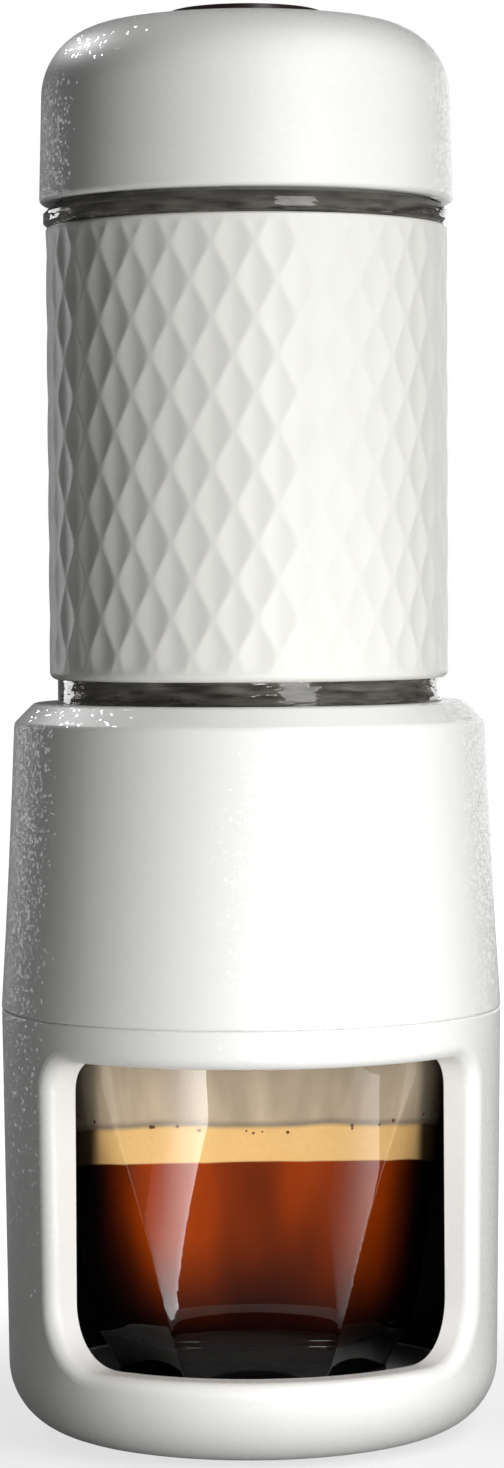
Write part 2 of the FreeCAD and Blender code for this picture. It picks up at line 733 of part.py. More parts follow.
def make_deck():
    """The deck that closes the body's underside, with posts that carry the liner."""
    spout_hole = "Dims.spout_radius + Dims.loose_fit"
    edge = f"{SKIRT_BORE} - Dims.static_fit"
    deck = turned("body_deck", DECK_SEAT, [
        (spout_hole, "0"),
        (edge, "0"),
        (edge, "Dims.deck_thickness"),
        (spout_hole, "Dims.deck_thickness"),
    ])
    ring, count = "Dims.deck_post_ring", "Dims.deck_screw_count"
    post_top = f"{LINER_SEAT} - {DECK_SEAT}"
    pad_ring(deck, "post", "Dims.deck_thickness", ring, "Dims.deck_post_radius",
             f"{post_top} - Dims.deck_thickness", count)
    drill_ring(deck, "screw", post_top, ring, "Dims.screw_radius + Dims.loose_fit", post_top, count)
    drill_ring(deck, "sink", "Dims.screw_head", ring, "Dims.screw_head_radius + Dims.loose_fit",
               "Dims.screw_head", count)
    return deck


def make_liner():
    """The threaded liner that takes the tank's neck, with the ledge for the chamber."""
    outside = f"{NECK_BORE} + Dims.liner_wall"
    height = f"{BODY_TOP} - Dims.body_roof - {LINER_SEAT}"
    liner = turned("thread_liner", LINER_SEAT, [
        ("Dims.ledge_bore", "0"),
        (outside, "0"),
        (outside, height),
        (NECK_BORE, height),
        (NECK_BORE, "Dims.ledge_thickness"),
        ("Dims.ledge_bore", "Dims.ledge_thickness"),
    ])
    drill_ring(liner, "pilot", "Dims.deck_screw_bite + Dims.loose_fit", "Dims.deck_post_ring",
               "Dims.screw_radius + Dims.static_fit", "Dims.deck_screw_bite + Dims.loose_fit",
               "Dims.deck_screw_count")
    return liner


def make_chamber():
    """The brew chamber: a flanged cup whose floor falls to the spout."""
    flange = f"{NECK_BORE} - Dims.loose_fit"
    inside = "Dims.chamber_radius - Dims.chamber_wall"
    floor_edge = "Dims.chamber_flange - Dims.basket_depth - Dims.chamber_room"
    spout_end = f"{SPOUT_END} - {LEDGE_TOP}"
    return turned("brew_chamber", LEDGE_TOP, [
        ("Dims.spout_bore", spout_end),
        ("Dims.spout_radius", spout_end),
        ("Dims.spout_radius", f"{floor_edge} - Dims.funnel_fall - Dims.funnel_floor"),
        ("Dims.chamber_radius", f"{floor_edge} - Dims.funnel_floor"),
        ("Dims.chamber_radius", "0"),
        (flange, "0"),
        (flange, "Dims.chamber_flange"),
        (inside, "Dims.chamber_flange"),
        (inside, floor_edge),
        ("Dims.spout_bore", f"{floor_edge} - Dims.funnel_fall"),
    ])


def make_nozzle():
    """The soft nozzle pushed into the spout, which aims the coffee at the cup."""
    insert = "Dims.spout_bore - Dims.static_fit"
    top = "Dims.nozzle_lip + Dims.nozzle_insert"
    return turned("outlet_nozzle", f"{SPOUT_END} - Dims.nozzle_lip", [
        ("Dims.nozzle_bore", "0"),
        ("Dims.spout_radius", "0"),
        ("Dims.spout_radius", "Dims.nozzle_lip"),
        (insert, "Dims.nozzle_lip"),
        (insert, top),
        ("Dims.nozzle_bore", top),
    ])


def make_main_body():
    """The shell, its deck and liner with their screws, and the brew chamber."""
    screws = screw_set("deck_screws", "Dims.deck_post_ring", "Dims.deck_screw_count", DECK_SEAT,
                       f"{LINER_SEAT} - {DECK_SEAT} - Dims.screw_head + Dims.deck_screw_bite")
    return [make_body_shell(), make_deck(), make_liner(), screws, make_chamber(), make_nozzle()]


# ---------------------------------------------------------------- basket and tank
def drill_grid(body, name, level, hole, pitch, sheet, first_ring, edge):
    """Perforate a sheet with rings of holes at even pitch, half a pitch short of the edge."""
    holes_per_ring = 6
    index = first_ring
    while index * value(pitch) + value(pitch) / 2 < value(edge):
        drill_ring(body, f"{name}{index}", level, f"{index} * {pitch}", hole, sheet,
                   f"{holes_per_ring * index}")
        index += 1


def make_basket():
    """The steel filter basket, whose rim hangs on the chamber's flange."""
    inside = "Dims.basket_radius - Dims.basket_sheet"
    low = "-Dims.basket_depth"
    floor = "Dims.basket_sheet - Dims.basket_depth"
    basket = turned("filter_basket", CHAMBER_TOP, [
        ("0", low),
        ("Dims.basket_radius", low),
        ("Dims.basket_radius", "0"),
        ("Dims.basket_rim_radius", "0"),
        ("Dims.basket_rim_radius", "Dims.basket_sheet"),
        (inside, "Dims.basket_sheet"),
        (inside, floor),
        ("0", floor),
    ])
    drill_grid(basket, "hole", floor, "Dims.basket_hole", "Dims.basket_hole_pitch",
               "Dims.basket_sheet", 1, inside)
    return [basket]


def make_group_gasket():
    """The gasket that the tank's neck presses on the basket's rim."""
    return turned("group_gasket", GASKET_SEAT, [
        ("Dims.gasket_inner", "0"),
        ("Dims.gasket_outer", "0"),
        ("Dims.gasket_outer", "Dims.gasket_thickness"),
        ("Dims.gasket_inner", "Dims.gasket_thickness"),
    ])


SOCKET_BORE = "(Dims.cylinder_radius + Dims.loose_fit)"


def make_water_tank():
    """The clear tank: neck, straight wall, flange, and a socket for the cylinder."""
    recess = "Dims.screen_radius + Dims.loose_fit"
    floor = f"{TANK_FLOOR} - {TANK_SEAT}"
    neck_top = "Dims.neck_depth + Dims.neck_reveal"
    flange_low = f"{FLANGE_SEAT} - {TANK_SEAT}"
    top = f"{TANK_TOP} - {TANK_SEAT}"
    tank = turned("water_tank", TANK_SEAT, [
        (recess, "0"),
        ("Dims.neck_radius", "0"),
        ("Dims.neck_radius", neck_top),
        ("Dims.tank_radius", neck_top),
        ("Dims.tank_radius", flange_low),
        ("Dims.flange_radius", flange_low),
        ("Dims.flange_radius", top),
        ("Dims.tank_bore", top),
        ("Dims.tank_bore", floor),
        (f"{SOCKET_BORE} + Dims.socket_wall", floor),
        (f"{SOCKET_BORE} + Dims.socket_wall", f"{floor} + Dims.socket_height"),
        (SOCKET_BORE, f"{floor} + Dims.socket_height"),
        (SOCKET_BORE, floor),
        ("0", floor),
        ("0", "Dims.screen_recess"),
        (recess, "Dims.screen_recess"),
    ])
    bevel_rims(tank, [("Dims.flange_radius", flange_low)], "Dims.flange_low_bevel")
    bevel_rims(tank, [("Dims.flange_radius", top)], "Dims.flange_high_bevel")
    drill_ring(tank, "drain", floor, "Dims.drain_ring", "Dims.drain_hole",
               "Dims.tank_floor", "Dims.drain_count")
    pilot_top = "Dims.screen_recess + Dims.shower_screw_bite + Dims.loose_fit"
    drill_ring(tank, "pilot", pilot_top, "0", "Dims.screw_radius + Dims.static_fit",
               f"{pilot_top} - Dims.screen_recess", "1")
    return tank


def make_grip_sleeve():
    """The soft sleeve over the tank's wall, between neck and flange."""
    inside = "Dims.tank_radius + Dims.static_fit"
    sleeve = turned("grip_sleeve", SLEEVE_SEAT, [
        (inside, "0"),
        ("Dims.sleeve_low_radius", "0"),
        ("Dims.sleeve_high_radius", "Dims.sleeve_height"),
        (inside, "Dims.sleeve_height"),
    ])
    round_rims(sleeve, [("Dims.sleeve_low_radius", "0")], "Dims.sleeve_low_round")
    round_rims(sleeve, [("Dims.sleeve_high_radius", "Dims.sleeve_height")], "Dims.sleeve_high_round")
    return sleeve


def make_shower():
    """The perforated shower screen under the tank's floor, and the screw that holds it."""
    low, high = "Dims.screen_sink", "Dims.screen_sink + Dims.screen_sheet"
    hole = "Dims.screw_radius + Dims.loose_fit"
    rim = "Dims.screen_radius - Dims.screen_rim"
    screen = turned("shower_screen", TANK_SEAT, [
        (hole, low),
        ("Dims.screen_radius", low),
        ("Dims.screen_radius", "Dims.screen_recess"),
        (rim, "Dims.screen_recess"),
        (rim, high),
        (hole, high),
    ])
    drill_grid(screen, "hole", high, "Dims.screen_hole", "Dims.screen_hole_pitch",
               "Dims.screen_sheet", 1, rim)
    shank = "Dims.screw_head + Dims.screen_recess - Dims.screen_sink + Dims.shower_screw_bite"
    screw = turned("shower_screw", f"{TANK_SEAT} + Dims.screen_sink - Dims.screw_head", [
        ("0", "0"),
        ("Dims.screw_head_radius", "0"),
        ("Dims.screw_head_radius", "Dims.screw_head"),
        ("Dims.screw_radius", "Dims.screw_head"),
        ("Dims.screw_radius", shank),
        ("0", shank),
    ])
    return [screen, screw]


def make_tank():
    """The tank with its grip and shower, and the gasket under its neck."""
    return [make_group_gasket(), make_water_tank(), make_grip_sleeve()] + make_shower()


# ---------------------------------------------------------------- pump head
BUSH_RADIUS = "(Dims.rod_radius + Dims.running_fit + Dims.bush_wall)"
ROD_BORE = "(Dims.rod_radius + Dims.running_fit)"


def o_ring(label, height, inner, outer):
    """A round ring of rubber, its middle at a height above the table."""
    ring = primitive(
        "Torus", label, height,
        Radius1=f"({inner} + {outer}) / 2", Radius2=f"({outer} - ({inner})) / 2",
    )
    ring.Label = label
    DOC.recompute()
    return ring


def make_head_gasket():
    """The flat gasket between the tank's top and the pump's lid."""
    return turned("head_gasket", TANK_TOP, [
        ("Dims.tank_bore + Dims.thread_fit", "0"),
        ("Dims.lid_radius", "0"),
        ("Dims.lid_radius", "Dims.head_gasket_thickness"),
        ("Dims.tank_bore + Dims.thread_fit", "Dims.head_gasket_thickness"),
    ])


def make_head_lid():
    """The lid: a skirt that screws into the tank, and a socket for the cylinder."""
    socket = "Dims.cylinder_radius + Dims.static_fit"
    socket_out = f"{socket} + Dims.lid_socket_wall"
    skirt = "Dims.tank_bore - Dims.thread_fit"
    skirt_in = f"{skirt} - Dims.lid_skirt_wall"
    hole = f"{BUSH_RADIUS} + Dims.static_fit"
    lid = turned("head_lid", LID_SEAT, [
        (hole, "0"),
        (socket, "0"),
        (socket, "-Dims.lid_socket_height"),
        (socket_out, "-Dims.lid_socket_height"),
        (socket_out, "0"),
        (skirt_in, "0"),
        (skirt_in, "-Dims.lid_skirt_height"),
        (skirt, "-Dims.lid_skirt_height"),
        (skirt, "0"),
        ("Dims.lid_radius", "0"),
        ("Dims.lid_radius", "Dims.lid_thickness"),
        (hole, "Dims.lid_thickness"),
    ])
    round_rims(lid, [("Dims.lid_radius", "Dims.lid_thickness")], "Dims.lid_edge_round")
    return lid


def make_cylinder():
    """The pump's cylinder, with a seal's groove near its foot and ports in its wall."""
    length = f"{LID_SEAT} - {TANK_FLOOR}"
    groove = "Dims.cylinder_radius - Dims.seal_groove_depth"
    groove_top = "Dims.seal_groove_lift + Dims.seal_groove_height"
    cylinder = turned("pump_cylinder", TANK_FLOOR, [
        ("Dims.cylinder_bore", "0"),
        ("Dims.cylinder_radius", "0"),
        ("Dims.cylinder_radius", "Dims.seal_groove_lift"),
        (groove, "Dims.seal_groove_lift"),
        (groove, groove_top),
        ("Dims.cylinder_radius", groove_top),
        ("Dims.cylinder_radius", length),
        ("Dims.cylinder_bore", length),
    ])
    before = cylinder.Tip.Shape.Volume
    right_through = "Dims.cylinder_radius * 2 + Dims.cylinder_bore * 2"
    for role in ("XZ_Plane", "YZ_Plane"):
        sketch = new_sketch(cylinder, role, f"port_{role[:2]}")
        centre = FreeCAD.Vector(0, value("Dims.cylinder_port_height"), 0)
        sketch.addGeometry(Part.Circle(centre, FreeCAD.Vector(0, 0, 1), value("Dims.cylinder_port")))
        place_point(sketch, 0, 3, "0", "Dims.cylinder_port_height")
        size = sketch.addConstraint(Sketcher.Constraint("Radius", 0, value("Dims.cylinder_port")))
        sketch.setExpression(f"Constraints[{size}]", "Dims.cylinder_port")
        port = cylinder.newObject("PartDesign::Pocket", f"cylinder_port_{role[:2]}")
        port.Profile = sketch
        port.Midplane = True
        port.setExpression("Length", right_through)
        cylinder.Tip = port
        DOC.recompute()
    if not cylinder.Tip.Shape.Volume < before:
        raise ValueError("the cylinder's ports cut nothing")
    seal_inner = f"({groove} + Dims.static_fit)"
    seal_outer = f"({SOCKET_BORE} - Dims.seal_fit)"
    seal_height = f"{TANK_FLOOR} + Dims.seal_groove_lift + Dims.seal_groove_height / 2"
    return [cylinder, o_ring("cylinder_seal", seal_height, seal_inner, seal_outer)]


def make_valve_block():
    """The outlet valve in the cylinder's foot: block, retainer, ball and spring."""
    outside = "Dims.cylinder_bore - Dims.static_fit"
    port = "Dims.block_height - Dims.block_port_height"
    block = turned("valve_block", TANK_FLOOR, [
        ("Dims.block_plenum_radius", "0"),
        (outside, "0"),
        (outside, "Dims.block_height"),
        ("Dims.ball_port", "Dims.block_height"),
        ("Dims.ball_port", port),
        ("Dims.ball_chamber", port),
        ("Dims.ball_chamber", "Dims.block_plenum_height"),
        ("Dims.block_plenum_radius", "Dims.block_plenum_height"),
    ])
    retainer = turned("valve_retainer", TANK_FLOOR, [
        ("Dims.retainer_bore", "0"),
        ("Dims.block_plenum_radius - Dims.static_fit", "0"),
        ("Dims.block_plenum_radius - Dims.static_fit", "Dims.retainer_height"),
        ("Dims.retainer_bore", "Dims.retainer_height"),
    ])
    drill_ring(retainer, "hole", "Dims.retainer_height", "Dims.retainer_hole_ring",
               "Dims.retainer_hole", "Dims.retainer_height", "Dims.retainer_hole_count")
    ball = primitive("Sphere", "outlet_ball", BALL_MIDDLE, Radius="Dims.ball_radius")
    ball.Label = "outlet_ball"
    reach = "Dims.ball_radius + Dims.valve_spring_wire"
    spring = coil(
        "valve_spring", f"{TANK_FLOOR} + Dims.retainer_height + Dims.valve_spring_wire",
        f"({BALL_MIDDLE} - sqrt(({reach})^2 - Dims.valve_spring_radius^2))",
        "Dims.valve_spring_radius", "Dims.valve_spring_wire", "Dims.valve_spring_turns",
    )
    return [block, retainer, ball, spring]


def make_rod_guide():
    """The bush that guides the rod in the lid, and the wiper above it."""
    collar = f"{BUSH_RADIUS} + Dims.bush_collar"
    top = "Dims.lid_thickness + Dims.bush_collar_height"
    bush = turned("rod_bush", LID_SEAT, [
        (ROD_BORE, "0"),
        (BUSH_RADIUS, "0"),
        (BUSH_RADIUS, "Dims.lid_thickness"),
        (collar, "Dims.lid_thickness"),
        (collar, top),
        (ROD_BORE, top),
    ])
    lip = "Dims.rod_radius + Dims.seal_fit"
    wiper = turned("rod_wiper", f"{LID_TOP} + Dims.bush_collar_height", [
        (lip, "0"),
        (BUSH_RADIUS, "0"),
        (f"{lip} + Dims.wiper_lip", "Dims.wiper_height"),
        (lip, "Dims.wiper_height"),
    ])
    return [bush, wiper]


def make_return_spring():
    """The return spring between the lid and the cap's hub, pressed together at rest."""
    return coil(
        "return_spring", f"{LID_TOP} + Dims.spring_wire",
        f"({WEB_SEAT} - Dims.hub_flange - Dims.spring_wire)",
        "Dims.spring_radius", "Dims.spring_wire", "Dims.spring_turns",
    )


def make_pump_head():
    """The pump's fixed side: lid, cylinder, valve block, rod guide and spring."""
    return ([make_head_gasket(), make_head_lid()] + make_cylinder() + make_valve_block()
            + make_rod_guide() + [make_return_spring()])


# ---------------------------------------------------------------- piston
def make_piston():
    """The piston with its two seals, the rod, and the hub that the cap turns on."""
    wall = "Dims.cylinder_bore - Dims.piston_clearance"
    groove = f"{wall} - Dims.piston_seal_depth"
    tail_bore = "Dims.rod_tail_radius + Dims.static_fit"
    outline = [("0", "0"), (wall, "0")]
    seals = []
    for name, low in (
        ("piston_seal_low", "Dims.piston_seal_first"),
        ("piston_seal_high", "(Dims.piston_seal_first + Dims.piston_seal_spacing)"),
    ):
        high = f"{low} + Dims.piston_seal_height"
        outline += [(wall, low), (groove, low), (groove, high), (wall, high)]
        seals.append(o_ring(name, f"{PISTON_SEAT} + {low} + Dims.piston_seal_height / 2",
                            f"({groove} + Dims.static_fit)", "(Dims.cylinder_bore - Dims.seal_fit)"))
    outline += [
        (wall, "Dims.piston_length"),
        (tail_bore, "Dims.piston_length"),
        (tail_bore, "Dims.piston_length - Dims.rod_tail"),
        ("0", "Dims.piston_length - Dims.rod_tail"),
    ]
    head = turned("piston_head", PISTON_SEAT, outline)
    return [head] + seals + [make_rod(), make_hub(), make_cap_screw()]


def make_rod():
    """The rod: a tail in the piston, a neck for the hub and a thread for the cap's screw."""
    shoulder = f"{HUB_SHOULDER} - {ROD_SEAT}"
    top = f"{WEB_SEAT} - {ROD_SEAT}"
    bore = "Dims.cap_screw_radius + Dims.static_fit"
    bore_end = f"{top} - Dims.cap_screw_length"
    return turned("piston_rod", ROD_SEAT, [
        ("0", "-Dims.rod_tail"),
        ("Dims.rod_tail_radius", "-Dims.rod_tail"),
        ("Dims.rod_tail_radius", "0"),
        ("Dims.rod_radius", "0"),
        ("Dims.rod_radius", shoulder),
        ("Dims.rod_neck_radius", shoulder),
        ("Dims.rod_neck_radius", top),
        (bore, top),
        (bore, bore_end),
        ("0", bore_end),
    ])


def make_hub():
    """The hub on the rod's neck, whose flange carries the cap and holds the spring."""
    inside = "Dims.rod_neck_radius + Dims.static_fit"
    top = "Dims.hub_sleeve + Dims.hub_flange"
    return turned("cap_hub", HUB_SHOULDER, [
        (inside, "0"),
        (f"{inside} + Dims.hub_wall", "0"),
        (f"{inside} + Dims.hub_wall", "Dims.hub_sleeve"),
        ("Dims.hub_flange_radius", "Dims.hub_sleeve"),
        ("Dims.hub_flange_radius", top),
        (inside, top),
    ])


def make_cap_screw():
    """The shouldered screw in the rod's end, under whose head the cap can turn."""
    return turned("cap_screw", f"{WEB_TOP} + Dims.turn_gap", [
        ("0", "-Dims.cap_screw_length"),
        ("Dims.cap_screw_radius", "-Dims.cap_screw_length"),
        ("Dims.cap_screw_radius", "0"),
        ("Dims.cap_screw_head_radius", "0"),
        ("Dims.cap_screw_head_radius", "Dims.cap_screw_head"),
        ("0", "Dims.cap_screw_head"),
    ])


# ---------------------------------------------------------------- cap
def make_cap_shell():
    """The domed cap: a short wall, a large round shoulder and a gently crowned top."""
    shoulder_reach = f"{SHOULDER_AXIS} * (1 + Dims.cap_shoulder / {CROWN_SPAN})"
    shoulder_top = f"Dims.cap_shoulder_height + Dims.cap_shoulder * {CROWN_RISE} / {CROWN_SPAN}"
    inner_round = "(Dims.cap_shoulder - Dims.cap_wall)"
    inner_high = "Dims.cap_high_radius - Dims.cap_wall"
    roof_low = f"Dims.cap_shoulder_height + {inner_round}"
    web_hole = "Dims.cap_screw_radius + Dims.loose_fit"
    web_low, web_high = f"{WEB_SEAT} - {CAP_SEAT}", f"{WEB_TOP} - {CAP_SEAT}"
    badge_low = f"{CAP_HEIGHT} - Dims.badge_sink"
    cap = turned("cap_shell", CAP_SEAT, [
        (web_hole, web_low),
        ("Dims.cap_boss_radius", web_low),
        ("Dims.cap_boss_radius", roof_low),
        (f"{inner_high} - {inner_round}", roof_low),
        (inner_high, "Dims.cap_shoulder_height", inner_round, "hollow"),
        ("Dims.cap_low_radius - Dims.cap_wall", "0"),
        ("Dims.cap_low_radius", "0"),
        ("Dims.cap_high_radius", "Dims.cap_shoulder_height"),
        (shoulder_reach, shoulder_top, "Dims.cap_shoulder"),
        (BADGE_BORE, CAP_HEIGHT, "Dims.cap_crown"),
        (BADGE_BORE, badge_low),
        ("Dims.cap_screw_pocket", badge_low),
        ("Dims.cap_screw_pocket", web_high),
        (web_hole, web_high),
    ])
    round_rims(cap, [("Dims.cap_low_radius", "0")], "Dims.cap_low_round")
    return cap


def make_badge():
    """The bare domed disc that covers the cap's screw."""
    dome = "Dims.badge_dome - sqrt(Dims.badge_dome^2 - Dims.badge_radius^2)"
    return turned("cap_badge", BADGE_SEAT, [
        ("0", "0"),
        ("Dims.badge_radius", "0"),
        ("Dims.badge_radius", "Dims.badge_rise"),
        ("0", f"Dims.badge_rise + {dome}", "Dims.badge_dome"),
    ])


def make_cap():
    """The cap and its badge."""
    return [make_cap_shell(), make_badge()]


# ---------------------------------------------------------------- checks and files
def check_pieces(pieces):
    """Stop if any object of the document failed or any piece is not a valid solid."""
    failed = [item.Label for item in DOC.Objects if {"Invalid", "Error"} & set(item.State)]
    if failed:
        raise ValueError(f"objects that failed: {failed}")
    for piece in pieces:
        shape = piece.Shape
        if shape.isNull() or not shape.isValid() or not shape.Solids:
            raise ValueError(f"{piece.Label} is not a valid solid")


def write_pieces(pieces):
    """Write each piece to a STEP file under its own name."""
    os.makedirs("parts", exist_ok=True)
    for piece in pieces:
        piece.Shape.exportStep(os.path.join("parts", f"{piece.Label}.step"))
        print(f"{piece.Label}: {len(piece.Shape.Solids)} solids, {piece.Shape.Volume:.1f} mm3")


def main():
    """Build every piece, check them all and write them out."""
    fill_sheet()
    pieces = []
    for make in (make_base, make_cup, make_main_body, make_basket, make_tank,
                 make_pump_head, make_piston, make_cap):
        pieces += make()
    DOC.recompute()
    check_pieces(pieces)
    write_pieces(pieces)


main()
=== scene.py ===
"""Looks of the handheld espresso maker, laid out as a Blender add-on and run as a script.

Every length in the property groups is in metres, and the window faces -Y. The shells, the
tank and most of the pump are the frame's own pieces, with a finish. The grip's relief, the
cut glass, the drink and the springs are made here: the relief and the bubbles follow rules,
so Geometry Nodes make them.
"""
import math

import bpy
import numpy as np
from mathutils import Matrix, Vector


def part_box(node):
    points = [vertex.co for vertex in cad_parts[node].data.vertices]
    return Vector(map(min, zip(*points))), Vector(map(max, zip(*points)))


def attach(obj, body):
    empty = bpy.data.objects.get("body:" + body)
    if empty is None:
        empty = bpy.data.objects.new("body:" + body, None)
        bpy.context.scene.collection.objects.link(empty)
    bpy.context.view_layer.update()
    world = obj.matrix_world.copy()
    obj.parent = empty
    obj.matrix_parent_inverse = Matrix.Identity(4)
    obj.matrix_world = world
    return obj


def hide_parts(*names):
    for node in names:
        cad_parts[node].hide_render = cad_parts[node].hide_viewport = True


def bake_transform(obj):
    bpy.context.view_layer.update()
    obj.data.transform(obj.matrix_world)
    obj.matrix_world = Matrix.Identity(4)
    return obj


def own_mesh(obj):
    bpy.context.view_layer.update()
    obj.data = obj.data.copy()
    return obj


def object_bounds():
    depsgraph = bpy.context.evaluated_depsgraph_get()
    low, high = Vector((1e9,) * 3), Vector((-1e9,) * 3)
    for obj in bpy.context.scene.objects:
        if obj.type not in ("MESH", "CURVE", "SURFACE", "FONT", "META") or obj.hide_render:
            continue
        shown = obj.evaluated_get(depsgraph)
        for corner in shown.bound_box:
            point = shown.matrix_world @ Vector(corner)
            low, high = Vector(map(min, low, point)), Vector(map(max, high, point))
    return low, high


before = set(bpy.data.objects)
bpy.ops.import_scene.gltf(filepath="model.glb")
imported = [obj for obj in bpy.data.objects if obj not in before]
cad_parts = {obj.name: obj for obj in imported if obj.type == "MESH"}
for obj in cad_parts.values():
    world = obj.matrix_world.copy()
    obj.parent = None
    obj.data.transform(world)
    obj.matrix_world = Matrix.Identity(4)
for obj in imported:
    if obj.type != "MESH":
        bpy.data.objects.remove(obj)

bl_info = {
    "name": "Espresso maker looks",
    "version": (1, 0, 0),
    "blender": (4, 5, 0),
    "location": "3D View > Sidebar > Espresso maker",
    "description": "Finishes and fine shapes for a handheld espresso maker",
    "category": "Object",
}

CAD_BOX = [list(corner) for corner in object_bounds()]
MM = 0.001
FULL_TURN = 2 * math.pi
# a map range that eases in and out
SMOOTH = {"interpolation_type": "SMOOTHSTEP"}
# zinc plate: its dark tone, its light tone and its roughness
ZINC = ("#8E9092", "#B4B6B8", 0.35)


def node_size(node):
    """A node's outer radius, lowest and highest point."""
    low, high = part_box(node)
    return high.x, low.z, high.z


GRIP_RADIUS, GRIP_LOW, GRIP_TOP = node_size("grip_sleeve")
CUP_LOW, CUP_TOP = node_size("glass_cup")[1:]
MAKER_TOP = CAD_BOX[1][2]
# the well in the base, where the cup stands
WELL_RADIUS, WELL_FLOOR = 32.0 * MM, 8.0 * MM
# the pump's full stroke, and a little more than the lift of the ball on its valve spring
STROKE, BALL_LIFT = 30 * MM, 0.9 * MM


def length(name, description, default):
    """A length property in metres."""
    return bpy.props.FloatProperty(
        name=name, description=description, default=default, subtype="DISTANCE", unit="LENGTH", precision=5
    )


def degrees(name, description, default):
    """An angle property, given in degrees."""
    return bpy.props.FloatProperty(
        name=name, description=description, default=math.radians(default), subtype="ANGLE"
    )


def number(name, description, default):
    """A plain number property."""
    return bpy.props.FloatProperty(name=name, description=description, default=default)


def whole(name, description, default):
    """A whole number property."""
    return bpy.props.IntProperty(name=name, description=description, default=default)


def linear(colour):
    """Linear RGBA from an sRGB hex colour."""
    def channel(text):
        level = int(text, 16) / 255
        return level / 12.92 if level <= 0.04045 else ((level + 0.055) / 1.055) ** 2.4

    return tuple(channel(colour[i:i + 2]) for i in (1, 3, 5)) + (1.0,)


def tint(name, description, colour):
    """A colour property given as sRGB hex."""
    return bpy.props.FloatVectorProperty(
        name=name, description=description, default=linear(colour), size=4, subtype="COLOR", min=0, max=1
    )


class MakerGripSizes(bpy.types.PropertyGroup):
    """Sizes of the grip's relief"""

    around: whole("Diamonds around", "Diamonds in one turn", 30)
    height: length("Diamond height", "Height of one diamond", 10.85 * MM)
    depth: length("Scoop depth", "Depth of a diamond's scoop", 0.32 * MM)
    margin: length("Margin", "Band at both ends where the scoops fade out", 1.3 * MM)
    phase: degrees("Phase", "Turn of the pattern from the front", 4.2)
    middle: length("Middle", "Height of one row of diamonds", 176.2 * MM)
    wall: length("Wall", "Thickness of the sleeve at its lower edge", 1.95 * MM)
    low_round: length("Low rounding", "Rounding of the lower edge", 1.2 * MM)
    high_round: length("High rounding", "Rounding of the upper edge", 0.5 * MM)
    flare: length("Flare", "How much wider the sleeve is at its top", 0.25 * MM)


class MakerCupSizes(bpy.types.PropertyGroup):
    """Sizes of the glass and the coffee in it"""

    facets: whole("Facets", "Flat facets round the glass", 6)
    facet_turn: degrees("Facet turn", "Turn of one facet's middle from the front", -3.0)
    facet_top: length("Facet top", "Height where a facet runs out under the rim", 55.5 * MM)
    facet_meet: length("Facet meeting", "Height where neighbouring facets meet", 16.4 * MM)
    ridge: length("Ridge rounding", "Rounding of the ridges beside the facets", 0.12 * MM)
    wall: length("Glass wall", "Thickness of the glass in a facet's middle", 1.0 * MM)
    floor: length("Glass floor", "Height of the floor inside the glass", 14.5 * MM)
    hollow: length("Hollow", "Rise of the hollow under the foot", 1.8 * MM)
    coffee_top: length("Coffee top", "Height of the espresso under the crema", 43.4 * MM)
    sag: length("Sag", "How much lower the crema hangs at the glass's sides", 3.6 * MM)
    crema_top: length("Crema top", "Height of the crema", 49.0 * MM)
    film_top: length("Film top", "Height of the foam's film on the glass", 59.0 * MM)
    bubbles: whole("Bubbles", "Bubbles along the crema's edge", 44)
    bubble: length("Bubble radius", "Radius of the largest bubble", 0.32 * MM)


class MakerColours(bpy.types.PropertyGroup):
    """Colours of the finishes"""

    shell: tint("Shell", "Pearl white of the shells", "#F1F1EE")
    grip: tint("Grip", "White of the grip", "#E8E7E2")
    clear: tint("Clear plastic", "Tint of the tank", "#A39E94")
    badge: tint("Badge", "Dark brown of the badge", "#2A1712")
    # painted light and painted shade: the lit espresso's colour and its shaded colour
    coffee: tint("Coffee", "Espresso where light comes through", "#8A3202")
    coffee_shade: tint("Dark coffee", "Espresso in its depth", "#120605")
    crema: tint("Crema", "Foam on the espresso", "#DFBB7F")
    residue: tint("Residue", "Film that the foam leaves on the glass", "#C6B69E")


class MakerStage(bpy.types.PropertyGroup):
    """The studio: its light, in watts, and its camera"""

    floor_radius: length("Floor radius", "Radius of the studio floor", 4.0)
    floor_fade: length("Floor fade", "Radius where the floor runs into the backdrop", 0.16)
    floor_glow: number("Floor glow", "Brightness added to the floor", 0.7)
    glossy: number("Glossy", "Backdrop's strength in reflections", 0.12)
    ambient: number("Ambient", "Light from all around", 0.02)
    key: number("Key", "Power of the tall softbox at the right", 0.375)
    key_low: number("Low key", "Power of the small softbox at the foot", 0.27)
    top: number("Top", "Power of the softbox above", 1.3)
    edge: number("Edge", "Power of the light along the left edges", 0.6)
    fill: number("Fill", "Power of the soft light behind", 3.2)
    glint: number("Glint", "Power of the light that only gloss shows", 4.8)
    strip: number("Strip", "Power of the left strip that the glass mirrors", 0.32)
    distance: length("Distance", "Camera to the maker's axis", 0.632)
    eye: length("Eye level", "Height of the camera", 0.1275)
    turn: degrees("Turn", "Camera's turn about the axis from the front", 4.2)
    roll: degrees("Roll", "Camera's tilt to the side", 0.35)
    lens: number("Lens", "Focal length in millimetres", 102.8)
    shift_x: number("Shift x", "Sideways shift of the lens", 0.0024)
    shift_y: number("Shift y", "Upward shift of the lens", -0.105)


# -------------------------------- shaping
def round_ring(radius, height, segments, start=0.0):
    """Points of a circle about the axis."""
    angles = [FULL_TURN * step / segments + start for step in range(segments)]
    return [(radius * math.cos(angle), radius * math.sin(angle), height) for angle in angles]


def skin(rings, segments, closed=False):
    """Faces between each ring of vertices and the next, and if closed the first again."""
    faces = []
    for ring in range(rings if closed else rings - 1):
        low, high = ring * segments, (ring + 1) % rings * segments
        for step in range(segments):
            after = (step + 1) % segments
            faces.append([low + step, low + after, high + after, high + step])
    return faces


